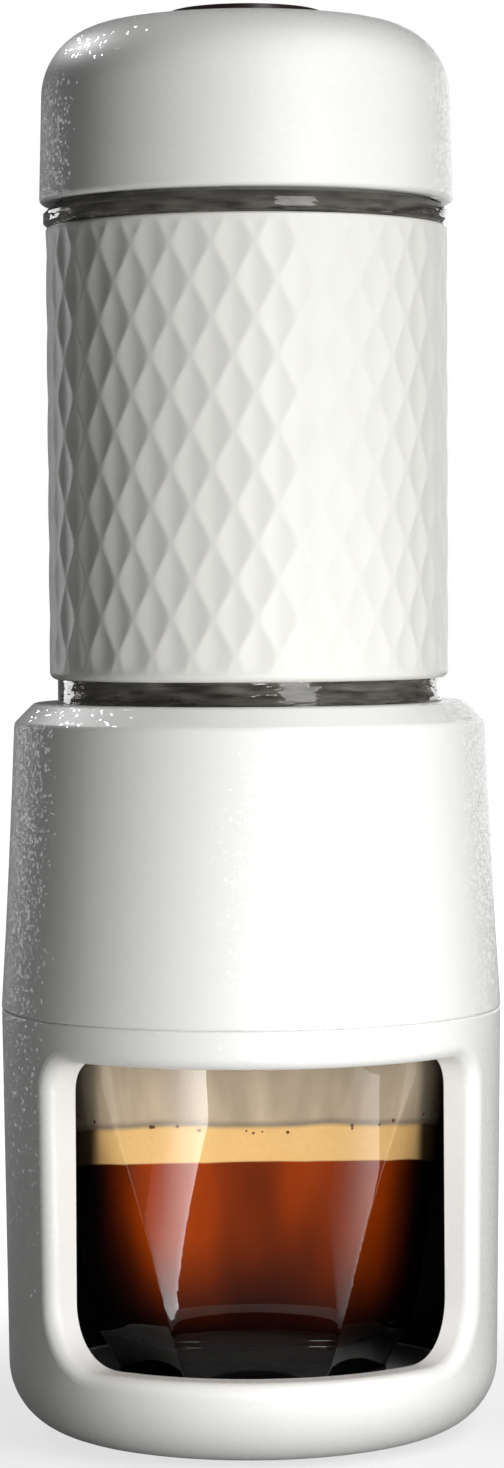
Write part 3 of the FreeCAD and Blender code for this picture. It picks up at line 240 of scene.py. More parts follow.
def lathe(section, segments, start):
    """Vertices and faces of a closed section turned about the axis.

    The section runs up the outside and down the inside.
    """
    rings = [round_ring(radius, height, segments, start) for radius, height in section]
    return [point for ring in rings for point in ring], skin(len(rings), segments, closed=True)


def stack(rings):
    """Vertices and faces of rings of points, closed at both ends."""
    segments = len(rings[0])
    verts = [point for ring in rings for point in ring]
    faces = skin(len(rings), segments)
    foot, head, last = len(verts), len(verts) + 1, len(verts) - segments
    verts += [(0, 0, rings[0][0][2]), (0, 0, rings[-1][0][2])]
    for step in range(segments):
        after = (step + 1) % segments
        faces += [[after, step, foot], [last + step, last + after, head]]
    return verts, faces


def coil(radius, wire, low, high, turns, draw):
    """Vertices and faces of a coil spring, shaped to be drawn out by draw.

    The wire's middle line climbs from low to high. The wire is flattened where the coils
    open most, so it is round when the spring is drawn out.
    """
    sides, steps = 12, 48 * turns
    verts = []
    for step in range(steps + 1):
        share = step / steps
        turn = FULL_TURN * turns * share
        flat = 1 + 6 * share * (1 - share) * draw / (high - low)
        for side in range(sides):
            around = -FULL_TURN * side / sides
            reach = radius + wire * math.cos(around)
            height = low + (high - low) * share + wire * math.sin(around) / flat
            verts.append((reach * math.cos(turn), reach * math.sin(turn), height))
    ends = [list(reversed(range(sides))), list(range(steps * sides, (steps + 1) * sides))]
    return verts, skin(steps + 1, sides) + ends


def levels(low, high, step):
    """Even heights from low to high, about a step apart."""
    count = max(1, round((high - low) / step))
    return [low + (high - low) * index / count for index in range(count + 1)]


def placed(name, data):
    """A new object in the scene, with a mesh, a light or a camera."""
    thing = bpy.data.objects.new(name, data)
    bpy.context.scene.collection.objects.link(thing)
    return thing


def new_piece(name, shape, crease=30.0):
    """An object from vertices and faces, smooth but for its creases."""
    mesh = bpy.data.meshes.new(name)
    mesh.from_pydata(shape[0], [], shape[1])
    mesh.validate()
    mesh.shade_smooth()
    mesh.set_sharp_from_angle(angle=math.radians(crease))
    return placed(name, mesh)


def settle(piece, body, material, replaced=()):
    """Give a piece its finish, hang it on the body it rides on, and hide the CAD nodes it stands for."""
    piece.data.materials.clear()
    piece.data.materials.append(material)
    if body:
        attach(piece, body)
    if replaced:
        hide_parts(*replaced)


def dress(nodes, material):
    """Finish CAD nodes whose shape is right as it is."""
    for node in nodes:
        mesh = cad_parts[node].data
        mesh.materials.clear()
        mesh.materials.append(material)


# -------------------------------- node trees
def feed(node, inputs):
    """Link or set a node's inputs."""
    for name, source in inputs.items():
        if isinstance(source, bpy.types.NodeSocket):
            node.id_data.links.new(source, node.inputs[name])
        else:
            node.inputs[name].default_value = source


def add_node(tree, kind, inputs=None, **settings):
    """Add a node, set its properties, feed its inputs, and give its outputs."""
    node = tree.nodes.new(kind)
    for name, setting in settings.items():
        setattr(node, name, setting)
    feed(node, inputs or {})
    return node.outputs


def new_material(name, **sockets):
    """A material, its tree, its one Principled shader with sockets set by name, and the place on it."""
    material = bpy.data.materials.new(name)
    material.use_nodes = True
    tree = material.node_tree
    shader = tree.nodes["Principled BSDF"]
    feed(shader, {socket.replace("_", " "): setting for socket, setting in sockets.items()})
    return material, tree, shader, add_node(tree, "ShaderNodeTexCoord")["Object"]


def about_axis(tree, place):
    """A place's coordinates, its part across the axis, and how far that is from the axis."""
    axes = add_node(tree, "ShaderNodeSeparateXYZ", {"Vector": place})
    flat = add_node(tree, "ShaderNodeCombineXYZ", {"X": axes["X"], "Y": axes["Y"]})[0]
    return axes, flat, add_node(tree, "ShaderNodeVectorMath", {0: flat}, operation="LENGTH")["Value"]


def grained(tree, place, size, detail, strength, depth):
    """Noise in grains of about this size, and the surface that it roughens."""
    noise = {"Vector": place, "Scale": 1 / size, "Detail": detail}
    grain = add_node(tree, "ShaderNodeTexNoise", noise)["Fac"]
    relief = {"Height": grain, "Strength": strength, "Distance": depth}
    return grain, add_node(tree, "ShaderNodeBump", relief)["Normal"]


def shaded(tree, colour, pattern, least):
    """A colour that a pattern darkens, at most to this share of its brightness."""
    shade = add_node(tree, "ShaderNodeMapRange", {"Value": pattern, "To Min": least, "To Max": 1.0})["Result"]
    layers = {"Factor": 1.0, "A": colour, "B": shade}
    return add_node(tree, "ShaderNodeMix", layers, data_type="RGBA", blend_type="MULTIPLY")["Result"]


def clouded(tree, place, size, detail, first, second):
    """A colour that wanders between two tones in clouds of about this size."""
    noise = {"Vector": place, "Scale": 1 / size, "Detail": detail}
    layers = {"Factor": add_node(tree, "ShaderNodeTexNoise", noise)["Fac"], "A": first, "B": second}
    return add_node(tree, "ShaderNodeMix", layers, data_type="RGBA")["Result"]


# -------------------------------- finishes
def pearl_abs(name, shade_radius=0.0):
    """Pearl white ABS, moulded against a spark-eroded tool: satin, with a very fine grain.

    Inside the given radius, above the well's floor, it is painted matt near-black. This is painted shade for
    the dark well round the glass.
    """
    satin, gloss = 0.5, 0.25
    material, tree, shader, place = new_material(
        name, Roughness=satin, IOR=1.53, Coat_Weight=gloss, Coat_Roughness=0.06
    )
    # the pearl's flakes are finer than a pixel, so they are drawn 0.4 mm wide
    flakes = add_node(tree, "ShaderNodeTexVoronoi", {"Vector": place, "Scale": 1 / (0.4 * MM)})["Color"]
    colour = shaded(tree, bpy.context.scene.maker_colours.shell, flakes, 0.965)
    # each flake lies a few degrees off the surface, so the gloss breaks up into glints
    tilt = add_node(
        tree, "ShaderNodeVectorMath", {0: flakes, 1: (0.44, 0.44, 0.44), 2: (-0.22, -0.22, -0.22)},
        operation="MULTIPLY_ADD",
    )[0]
    facing = add_node(tree, "ShaderNodeNewGeometry")["Normal"]
    tilted = add_node(tree, "ShaderNodeVectorMath", {0: facing, 1: tilt}, operation="ADD")[0]
    # painted shade: the well's inner wall is painted matt near-black, as if no light reached it past the
    # glass
    if shade_radius:
        axes, _, radius = about_axis(tree, place)
        inside = add_node(tree, "ShaderNodeMath", {0: radius, 1: shade_radius}, operation="LESS_THAN")[0]
        above = add_node(
            tree, "ShaderNodeMath", {0: axes["Z"], 1: WELL_FLOOR + 0.3 * MM}, operation="GREATER_THAN"
        )[0]
        painted_shade = add_node(tree, "ShaderNodeMath", {0: inside, 1: above}, operation="MULTIPLY")[0]
        layers = {"Factor": painted_shade, "A": colour, "B": linear("#0C0B0B")}
        colour = add_node(tree, "ShaderNodeMix", layers, data_type="RGBA")["Result"]
        for socket, bare, black in (("Roughness", satin, 0.7), ("Coat Weight", gloss, 0.0)):
            span = {"Value": painted_shade, "To Min": bare, "To Max": black}
            feed(shader, {socket: add_node(tree, "ShaderNodeMapRange", span)["Result"]})
    noise = {"Vector": place, "Scale": 1 / (0.3 * MM), "Detail": 3.0, "Roughness": 0.6}
    grain = add_node(tree, "ShaderNodeTexNoise", noise)["Fac"]
    relief = {"Height": grain, "Strength": 0.18, "Distance": 0.03 * MM}
    bump = add_node(tree, "ShaderNodeBump", relief)["Normal"]
    feed(shader, {"Base Color": colour, "Coat Normal": tilted, "Normal": bump})
    return material


def grip_silicone():
    """White silicone, moulded: softer and duller than the shells, with a faint mottle."""
    material, tree, shader, place = new_material("white_silicone_grip", Roughness=0.42, IOR=1.43)
    noise = {"Vector": place, "Scale": 1 / (9 * MM), "Detail": 4.0}
    mottle = add_node(tree, "ShaderNodeTexNoise", noise)["Fac"]
    colour = shaded(tree, bpy.context.scene.maker_colours.grip, mottle, 0.95)
    bump = grained(tree, place, 0.4 * MM, 2.0, 0.12, 0.03 * MM)[1]
    feed(shader, {"Base Color": colour, "Normal": bump})
    return material


def clear_copolyester():
    """Clear copolyester, moulded and polished: smoke grey, with rings of ripples that break up its gloss."""
    material, tree, shader, place = new_material(
        "smoke_clear_copolyester", Roughness=0.05, IOR=1.56, Transmission_Weight=0.7
    )
    # the ripples run round the neck, about 6 mm long and a fifth of that high
    drawn = add_node(tree, "ShaderNodeMapping", {"Vector": place, "Scale": (1.0, 1.0, 5.0)})[0]
    ripple, bump = grained(tree, drawn, 6 * MM, 2.0, 0.7, 0.5 * MM)
    span = {"Value": ripple, "From Min": 0.35, "From Max": 0.65}
    share = add_node(tree, "ShaderNodeMapRange", span)["Result"]
    layers = {"Factor": share, "A": linear("#4E4A45"), "B": bpy.context.scene.maker_colours.clear}
    tone = add_node(tree, "ShaderNodeMix", layers, data_type="RGBA")["Result"]
    feed(shader, {"Base Color": tone, "Normal": bump})
    return material


def pressed_glass():
    """Soda-lime glass, pressed and fire-polished: clear, with faint waviness."""
    material, tree, shader, place = new_material(
        "pressed_soda_glass", Base_Color=linear("#FFFFFF"), Roughness=0.0, IOR=1.5, Transmission_Weight=1.0
    )
    feed(shader, {"Normal": grained(tree, place, 12 * MM, 1.0, 0.1, 0.2 * MM)[1]})
    return material


def polished_badge():
    """Dark brown acrylic, moulded and lightly polished: a soft gloss and a faint cloud in its colour."""
    material, tree, shader, place = new_material("polished_brown_acrylic", Roughness=0.35, IOR=1.49)
    brown = bpy.context.scene.maker_colours.badge
    feed(shader, {"Base Color": clouded(tree, place, 6 * MM, 3.0, brown, linear("#1C0F0C"))})
    return material


def espresso_tone(tree, place):
    """Painted light and shade: orange-brown where light would reach the espresso through the window, near
    black towards the bottom and out at the two sides.
    """
    colours, sizes = bpy.context.scene.maker_colours, bpy.context.scene.maker_cup
    axes = add_node(tree, "ShaderNodeSeparateXYZ", {"Vector": place})
    # painted shade: the drink is darker towards the bottom
    span = {"Value": axes["Z"], "From Min": sizes.floor + 2 * MM, "From Max": sizes.floor + 22 * MM}
    depth = add_node(tree, "ShaderNodeMapRange", span, **SMOOTH)["Result"]
    # painted shade: the drink is darker out at the two sides, away from the window's light
    side = add_node(tree, "ShaderNodeMath", {0: axes["X"]}, operation="ABSOLUTE")[0]
    span = {"Value": side, "From Min": 15 * MM, "From Max": 24 * MM, "To Min": 1.0, "To Max": 0.0}
    facing = add_node(tree, "ShaderNodeMapRange", span, **SMOOTH)["Result"]
    # painted shade and light: darker and lighter bands about 12 mm apart hang down the lit drink, shifted
    # sideways so a dark band falls near the middle
    drawn = add_node(
        tree, "ShaderNodeMapping", {"Vector": place, "Location": (-5.4 * MM, 0, 0), "Scale": (1.0, 1.0, 0.35)}
    )[0]
    noise = {"Vector": drawn, "Scale": 1 / (12 * MM), "Detail": 1.0}
    cloud = add_node(tree, "ShaderNodeTexNoise", noise)["Fac"]
    span = {"Value": cloud, "From Min": 0.35, "From Max": 0.65, "To Min": 0.4, "To Max": 1.15}
    painted_bands = add_node(tree, "ShaderNodeMapRange", span)["Result"]
    glow = add_node(tree, "ShaderNodeMath", {0: depth, 1: facing}, operation="MULTIPLY")[0]
    glow = add_node(tree, "ShaderNodeMath", {0: glow, 1: painted_bands}, operation="MULTIPLY", use_clamp=True)[0]
    layers = {"Factor": glow, "A": colours.coffee_shade, "B": colours.coffee}
    return add_node(tree, "ShaderNodeMix", layers, data_type="RGBA")["Result"]


def espresso_finish():
    """Espresso: it wets the glass, so it has no gloss of its own there."""
    material, tree, shader, place = new_material("espresso", Roughness=0.4, IOR=1.33, Specular_IOR_Level=0.0)
    feed(shader, {"Base Color": espresso_tone(tree, place)})
    return material


def crema_finish():
    """Crema: golden foam, mottled; the film it leaves on the glass above is thin, tan and streaked.

    Foam and film hang lower at the glass's two sides than in its front and back, and there they are painted
    dark: painted shade.
    """
    colours, sizes = bpy.context.scene.maker_colours, bpy.context.scene.maker_cup
    material, tree, shader, place = new_material(
        "crema_foam", Roughness=0.45, IOR=1.33, Specular_IOR_Level=0.0
    )
    axes = add_node(tree, "ShaderNodeSeparateXYZ", {"Vector": place})
    across, along = (
        add_node(tree, "ShaderNodeMath", {0: axes[axis]}, operation="ABSOLUTE")[0] for axis in "XY"
    )
    reach = inner_radius(sizes, sizes.coffee_top)
    span = {"Value": along, "From Max": reach, "To Min": sizes.sag, "To Max": 0.0}
    sag = add_node(tree, "ShaderNodeMapRange", span)["Result"]
    level = add_node(tree, "ShaderNodeMath", {0: axes["Z"], 1: sag}, operation="ADD")[0]
    # the foam's upper edge wanders by half a millimetre, in waves about 15 mm long
    noise = {"Vector": place, "Scale": 1 / (15 * MM), "Detail": 2.0}
    wave = add_node(tree, "ShaderNodeTexNoise", noise)["Fac"]
    wander = add_node(tree, "ShaderNodeMath", {0: wave, 1: 1.2 * MM, 2: level}, operation="MULTIPLY_ADD")[0]
    edge = sizes.crema_top + 0.6 * MM
    span = {"Value": wander, "From Min": edge - 0.5 * MM, "From Max": edge}
    left_behind = add_node(tree, "ShaderNodeMapRange", span, **SMOOTH)["Result"]
    foam = clouded(tree, place, 0.8 * MM, 4.0, linear("#D4AC6E"), colours.crema)
    # streaks run down the glass: stretched along the axis, about 4 mm apart
    drawn = add_node(tree, "ShaderNodeMapping", {"Vector": place, "Scale": (1.0, 1.0, 0.12)})[0]
    film = clouded(tree, drawn, 4 * MM, 2.0, linear("#8C7E6C"), colours.residue)
    # a thin grey line where the foam ends
    rise = add_node(tree, "ShaderNodeMath", {0: wander, 1: edge}, operation="SUBTRACT")[0]
    away = add_node(tree, "ShaderNodeMath", {0: rise}, operation="ABSOLUTE")[0]
    span = {"Value": away, "From Min": 0.0, "From Max": 0.9 * MM, "To Min": 0.6, "To Max": 0.0}
    line = add_node(tree, "ShaderNodeMapRange", span, **SMOOTH)["Result"]
    # painted shade: out at the glass's two sides the foam is painted almost black and its film less dark, for
    # the shade the window frame casts there
    span = {"Value": left_behind, "To Min": 0.92, "To Max": 0.5}
    side_shade_strength = add_node(tree, "ShaderNodeMapRange", span)["Result"]
    span = {"Value": across, "From Min": 22.6 * MM, "From Max": 24.2 * MM, "To Max": side_shade_strength}
    thin = add_node(tree, "ShaderNodeMapRange", span, **SMOOTH)["Result"]
    span = {"Value": level, "From Min": sizes.coffee_top, "From Max": sizes.coffee_top + 0.3 * MM}
    foamy = add_node(tree, "ShaderNodeMapRange", span, **SMOOTH)["Result"]
    tone = foam
    # the last layer is the painted shade at the glass's sides
    for share, over in ((left_behind, film), (line, linear("#6E665A")), (thin, linear("#1C120E"))):
        layers = {"Factor": share, "A": tone, "B": over}
        tone = add_node(tree, "ShaderNodeMix", layers, data_type="RGBA")["Result"]
    layers = {"Factor": foamy, "A": espresso_tone(tree, place), "B": tone}
    feed(shader, {"Base Color": add_node(tree, "ShaderNodeMix", layers, data_type="RGBA")["Result"]})
    return material


def brushed_steel(name, dark, light, roughness):
    """Steel, turned or drawn: grey metal with fine lines round the axis."""
    material, tree, shader, place = new_material(name, Metallic=1.0, Roughness=roughness)
    turned = add_node(tree, "ShaderNodeMapping", {"Vector": place, "Scale": (1.0, 1.0, 40.0)})[0]
    feed(shader, {"Base Color": clouded(tree, turned, 8 * MM, 3.0, linear(dark), linear(light))})
    return material


def bubble_film():
    """Bubbles in the crema: thin wet film that shows the dark drink behind it."""
    material, tree, shader, place = new_material("bubble_film", Roughness=0.15, IOR=1.33)
    feed(shader, {"Base Color": clouded(tree, place, 3 * MM, 0.0, linear("#3A2316"), linear("#8A6239"))})
    return material


def moulded(name, colour, roughness):
    """Plain moulded plastic or rubber for the inner pieces: matt, with the tool's fine texture."""
    material, tree, shader, place = new_material(name, Roughness=roughness, IOR=1.5)
    grain, bump = grained(tree, place, 0.5 * MM, 3.0, 0.2, 0.04 * MM)
    feed(shader, {"Base Color": shaded(tree, linear(colour), grain, 0.93), "Normal": bump})
    return material


# -------------------------------- rules for what repeats
def new_rule(name, inputs):
    """A geometry tree with a geometry input, named inputs and a geometry output, and what comes in."""
    tree = bpy.data.node_groups.new(name, "GeometryNodeTree")
    tree.interface.new_socket("Geometry", in_out="INPUT", socket_type="NodeSocketGeometry")
    for label, kind in inputs.items():
        tree.interface.new_socket(label, in_out="INPUT", socket_type=f"NodeSocket{kind}")
    tree.interface.new_socket("Geometry", in_out="OUTPUT", socket_type="NodeSocketGeometry")
    return tree, add_node(tree, "NodeGroupInput")


def end_rule(tree, given, shape):
    """Give a rule's shape its material and send it out."""
    real = add_node(tree, "GeometryNodeRealizeInstances", {0: shape})[0]
    dressed = add_node(tree, "GeometryNodeSetMaterial", {"Geometry": real, "Material": given["Material"]})[0]
    add_node(tree, "NodeGroupOutput", {0: dressed})
    return tree


def apply_rule(piece, tree, values):
    """Run a geometry tree on a piece with these inputs, and keep the plain result."""
    modifier = piece.modifiers.new(tree.name, "NODES")
    modifier.node_group = tree
    for item in tree.interface.items_tree:
        if item.item_type == "SOCKET" and item.in_out == "INPUT" and item.name in values:
            modifier[item.identifier] = values[item.name]
    depsgraph = bpy.context.evaluated_depsgraph_get()
    result = bpy.data.meshes.new_from_object(piece.evaluated_get(depsgraph), depsgraph=depsgraph)
    piece.modifiers.remove(modifier)
    piece.data = result
    result.name = piece.name


def relief_rule():
    """Scoop diamonds out of an upright sleeve: each is deepest in its middle."""
    tree, given = new_rule("diamond_relief", {
        "Diamonds around": "Int", "Diamond height": "Float", "Depth": "Float", "Margin": "Float",
        "Phase": "Float", "Middle": "Float", "Low": "Float", "High": "Float", "Inner radius": "Float",
        "Material": "Material",
    })
    axes, flat, radius = about_axis(tree, add_node(tree, "GeometryNodeInputPosition")[0])
    known = {"radius": radius, **{socket.name: socket for socket in (*given, *axes)}}
    # across and up count in diamonds; each step of arithmetic names its result first
    steps = [
        ("back", "MULTIPLY", "Y", -1.0),
        ("heading", "ARCTAN2", "X", "back"),
        ("turn", "SUBTRACT", "heading", "Phase"),
        ("half turn", "DIVIDE", math.pi, "Diamonds around"),
        ("across", "DIVIDE", "turn", "half turn"),
        ("half height", "MULTIPLY", "Diamond height", 0.5),
        ("rise", "SUBTRACT", "Z", "Middle"),
        ("up", "DIVIDE", "rise", "half height"),
        ("scoop", "MULTIPLY", "Depth", -1.0),
    ]
    for slant in ("ADD", "SUBTRACT"):
        steps += [
            ("slant", slant, "across", "up"),
            ("cell", "WRAP", "slant", 1.0, -1.0),
            ("square", "MULTIPLY", "cell", "cell"),
            ("fall", "SUBTRACT", 1.0, "square"),
            ("scoop", "MULTIPLY", "scoop", "fall"),
        ]
    for end in (("Z", "Low"), ("High", "Z")):
        steps += [
            ("room", "SUBTRACT", *end),
            ("fade", "DIVIDE", "room", "Margin"),
            ("started", "MAXIMUM", "fade", 0.0),
            ("share", "MINIMUM", "started", 1.0),
            ("scoop", "MULTIPLY", "scoop", "share"),
        ]
    steps += [
        ("outside", "GREATER_THAN", "radius", "Inner radius"),
        ("shrink", "DIVIDE", "scoop", "radius"),
    ]
    for label, operation, *values in steps:
        inputs = {index: known.get(value, value) for index, value in enumerate(values)}
        known[label] = add_node(tree, "ShaderNodeMath", inputs, operation=operation)[0]
    shift = add_node(tree, "ShaderNodeVectorMath", {0: flat, "Scale": known["shrink"]}, operation="SCALE")[0]
    carved = add_node(
        tree, "GeometryNodeSetPosition",
        {"Geometry": given["Geometry"], "Selection": known["outside"], "Offset": shift},
    )[0]
    return end_rule(tree, given, carved)


def bubble_rule():
    """Set small spheres of uneven size along a ring, kept near its line."""
    tree, given = new_rule("bubbles_on_ring", {
        "Count": "Int", "Ring radius": "Float", "Height": "Float", "Spread": "Float",
        "Bubble radius": "Float", "Seed": "Int", "Material": "Material",
    })
    circle = {"Resolution": given["Count"], "Radius": given["Ring radius"]}
    line = add_node(tree, "GeometryNodeCurvePrimitiveCircle", circle)[0]
    along = {"Curve": line, "Count": given["Count"]}
    spots = add_node(tree, "GeometryNodeCurveToPoints", along, mode="COUNT")[0]
    shares = {}
    for step, label in enumerate(("along", "up", "size")):
        seed = add_node(tree, "FunctionNodeIntegerMath", {0: given["Seed"], 1: step}, operation="ADD")[0]
        shares[label] = add_node(tree, "FunctionNodeRandomValue", {"Seed": seed}, data_type="FLOAT")["Value"]
    height, turn, size = (
        add_node(tree, "ShaderNodeMath", {0: shares[label], 1: spread, 2: least}, operation="MULTIPLY_ADD")[0]
        for label, spread, least in (
            ("up", given["Spread"], given["Height"]), ("along", 0.5, -0.25), ("size", 0.6, 0.4)
        )
    )
    turning = {"Vector": add_node(tree, "GeometryNodeInputPosition")[0], "Angle": turn}
    turned = add_node(tree, "ShaderNodeVectorRotate", turning, rotation_type="Z_AXIS")[0]
    lift = add_node(tree, "ShaderNodeCombineXYZ", {"Z": height})[0]
    moving = {"Geometry": spots, "Position": turned, "Offset": lift}
    moved = add_node(tree, "GeometryNodeSetPosition", moving)[0]
    sphere = {"Radius": given["Bubble radius"], "Subdivisions": 2}
    ball = add_node(tree, "GeometryNodeMeshIcoSphere", sphere)["Mesh"]
    ball = add_node(tree, "GeometryNodeSetShadeSmooth", {0: ball})[0]
    balls = {"Points": moved, "Instance": ball, "Scale": size}
    return end_rule(tree, given, add_node(tree, "GeometryNodeInstanceOnPoints", balls)[0])


# -------------------------------- pieces
class MAKER_OT_shells(bpy.types.Operator):
    """Finish the base, the main body and the cap in pearl white"""

    bl_idname = "maker.shells"
    bl_label = "White shells"

    def execute(self, context):
        dress(["body_shell", "cap_shell"], pearl_abs("pearl_white_abs"))
        # inside its well the base is painted near-black: painted shade
        dress(["base_shell"], pearl_abs("pearl_white_abs_painted_shade", shade_radius=WELL_RADIUS + 0.05 * MM))
        return {"FINISHED"}


class MAKER_OT_grip(bpy.types.Operator):
    """Carve the diamonds into the soft grip"""

    bl_idname = "maker.grip"
    bl_label = "Grip"

    def execute(self, context):
        sizes = context.scene.maker_grip
        rows_in_half, low_steps, high_steps = 10, 6, 4
        row = sizes.height / 2 / rows_in_half
        low, high = GRIP_LOW + sizes.low_round, GRIP_TOP - sizes.high_round
        low_radius = GRIP_RADIUS - sizes.flare
        inside = low_radius - sizes.wall
        section = [(inside, GRIP_LOW)]
        for step in range(low_steps + 1):
            angle = math.pi / 2 * step / low_steps
            radius = low_radius - sizes.low_round * (1 - math.sin(angle))
            section.append((radius, GRIP_LOW + sizes.low_round * (1 - math.cos(angle))))
        first = math.ceil((low - sizes.middle) / row + 0.5)
        last = math.floor((high - sizes.middle) / row - 0.5)
        for height in [sizes.middle + row * step for step in range(first, last + 1)] + [high]:
            share = (height - GRIP_LOW) / (GRIP_TOP - GRIP_LOW)
            section.append((low_radius + sizes.flare * share, height))
        for step in range(1, high_steps + 1):
            angle = math.pi / 2 * step / high_steps
            radius = GRIP_RADIUS - sizes.high_round * (1 - math.cos(angle))
            section.append((radius, high + sizes.high_round * math.sin(angle)))
        section.append((inside, GRIP_TOP))
        shape = lathe(section, 2 * rows_in_half * sizes.around, sizes.phase - math.pi / 2)
        piece = new_piece("grip_relief", shape, crease=50.0)
        material = grip_silicone()
        apply_rule(piece, relief_rule(), {
            "Diamonds around": sizes.around, "Diamond height": sizes.height, "Depth": sizes.depth,
            "Margin": sizes.margin, "Phase": sizes.phase, "Middle": sizes.middle, "Low": low,
            "High": high, "Inner radius": inside + sizes.wall / 2, "Material": material,
        })
        settle(piece, "tank", material, ["grip_sleeve"])
        return {"FINISHED"}


class MAKER_OT_tank(bpy.types.Operator):
    """Finish the clear tank"""

    bl_idname = "maker.tank"
    bl_label = "Clear tank"

    def execute(self, context):
        dress(["water_tank"], clear_copolyester())
        return {"FINISHED"}


class MAKER_OT_badge(bpy.types.Operator):
    """Finish the bare badge on the cap"""

    bl_idname = "maker.badge"
    bl_label = "Badge"

    def execute(self, context):
        dress(["cap_badge"], polished_badge())
        return {"FINISHED"}


def outer_radius(height):
    """The round glass's outer radius at a height: foot, belly and straight side."""
    heights = [8.8, 10.6, 12.5, 15.0, 17.8, 21.9, 61.0]
    radii = [19.8, 20.8, 22.0, 23.4, 24.4, 25.2, 30.4]
    return float(np.interp(height / MM, heights, radii)) * MM


def facet_share(sizes, height):
    """A facet's distance from the axis as a share of the round radius at a height."""
    meeting = math.cos(math.pi / sizes.facets)
    share = (sizes.facet_top - height) / (sizes.facet_top - sizes.facet_meet)
    return 1 - (1 - meeting) * min(max(share, 0.0), 1.0)


def inner_radius(sizes, height):
    """The glass's round inner radius at a height, with a rounded corner at the floor."""
    corner, draw_in = 4 * MM, 3.5 * MM
    above = max(height, sizes.floor + corner)
    radius = outer_radius(above) * facet_share(sizes, above) - sizes.wall
    dip = (above - height) / corner
    return radius - draw_in * (1 - math.sqrt(max(1 - dip * dip, 0.0)))


def soft_least(first, second, rounding):
    """The lesser of two lengths, rounded off where they are nearly the same."""
    share = min(max(0.5 + 0.5 * (second - first) / rounding, 0.0), 1.0)
    return second + (first - second) * share - rounding * share * (1 - share)


def facet_ring(sizes, height, segments, inset):
    """Points round the glass at a height: round, but cut flat in each facet."""
    ring = []
    radius = outer_radius(height)
    flat = radius * facet_share(sizes, height)
    width = FULL_TURN / sizes.facets
    for step in range(segments):
        turn = FULL_TURN * step / segments
        from_middle = (turn + width / 2) % width - width / 2
        reach = soft_least(radius, flat / math.cos(from_middle), sizes.ridge) - inset
        angle = turn + sizes.facet_turn - math.pi / 2
        ring.append((reach * math.cos(angle), reach * math.sin(angle), height))
    return ring


class MAKER_OT_glass(bpy.types.Operator):
    """Make the cut glass: round at the rim, six-sided at the foot"""

    bl_idname = "maker.glass"
    bl_label = "Glass"

    def execute(self, context):
        sizes = context.scene.maker_cup
        segments, step_up, rim, rim_steps, hollow_radius = 480, 1.0 * MM, 0.45 * MM, 8, 14 * MM
        start = sizes.facet_turn - math.pi / 2
        side = levels(CUP_LOW + 0.4 * MM, CUP_TOP - rim, step_up)
        rings = [
            round_ring(hollow_radius * share, CUP_LOW + sizes.hollow * (1 - share * share), segments, start)
            for share in (0.02, 0.25, 0.5, 0.75, 0.9, 1.0)
        ]
        rings += [facet_ring(sizes, CUP_LOW, segments, inset) for inset in (1.2 * MM, 0.35 * MM)]
        rings += [facet_ring(sizes, height, segments, 0) for height in side]
        edge = inner_radius(sizes, side[-1])
        half = (outer_radius(side[-1]) - edge) / 2
        for step in range(1, rim_steps):
            angle = math.pi * step / rim_steps
            height = side[-1] + rim * math.sin(angle)
            rings.append(round_ring(edge + half + half * math.cos(angle), height, segments, start))
        for height in reversed(levels(sizes.floor, side[-1], step_up)):
            rings.append(round_ring(inner_radius(sizes, height), height, segments, start))
        piece = new_piece("cut_glass", stack(rings), crease=9.0)
        settle(piece, "cup", pressed_glass(), ["glass_cup"])
        return {"FINISHED"}


class MAKER_OT_coffee(bpy.types.Operator):
    """Fill the glass with espresso, its crema and the bubbles at its edge"""

    bl_idname = "maker.coffee"
    bl_label = "Espresso"

    def execute(self, context):
        sizes = context.scene.maker_cup
        segments, step_up, sunk, film_depth = 192, 0.8 * MM, 0.05 * MM, 0.1 * MM
        lowest = sizes.coffee_top - sizes.sag
        brim = inner_radius(sizes, sizes.crema_top)

        def wall_rings(heights, outward):
            """Rings that follow the glass's inner wall."""
            radii = [inner_radius(sizes, max(height, sizes.floor)) + outward for height in heights]
            return [round_ring(radius, height, segments) for radius, height in zip(radii, heights)]

        drink = wall_rings(levels(sizes.floor - sunk, lowest, 1.5 * step_up), sunk)
        piece = new_piece("espresso", stack(drink), crease=40.0)
        settle(piece, "cup", espresso_finish())

        # a film of foam clings to the glass up to its rim, and the foam's own face is dished
        film = levels(sizes.crema_top, sizes.film_top, step_up)[1:]
        foam = wall_rings(levels(lowest, sizes.crema_top, step_up) + film, sunk)
        foam += wall_rings(film[::-1], -film_depth)
        foam += [
            round_ring(brim - inset * MM, sizes.crema_top - drop * MM, segments)
            for inset, drop in ((0.3, 0.1), (0.8, 0.35), (2.0, 0.5), (6.0, 0.55))
        ]
        piece = new_piece("crema", stack(foam), crease=60.0)
        settle(piece, "cup", crema_finish())

        material = bubble_film()
        piece = new_piece("crema_bubbles", ([(0, 0, 0)], []))
        apply_rule(piece, bubble_rule(), {
            "Count": sizes.bubbles, "Ring radius": brim, "Height": sizes.crema_top - 1.3 * MM,
            "Spread": 1.0 * MM, "Bubble radius": sizes.bubble, "Seed": 7, "Material": material,
        })
        settle(piece, "cup", material)
        return {"FINISHED"}


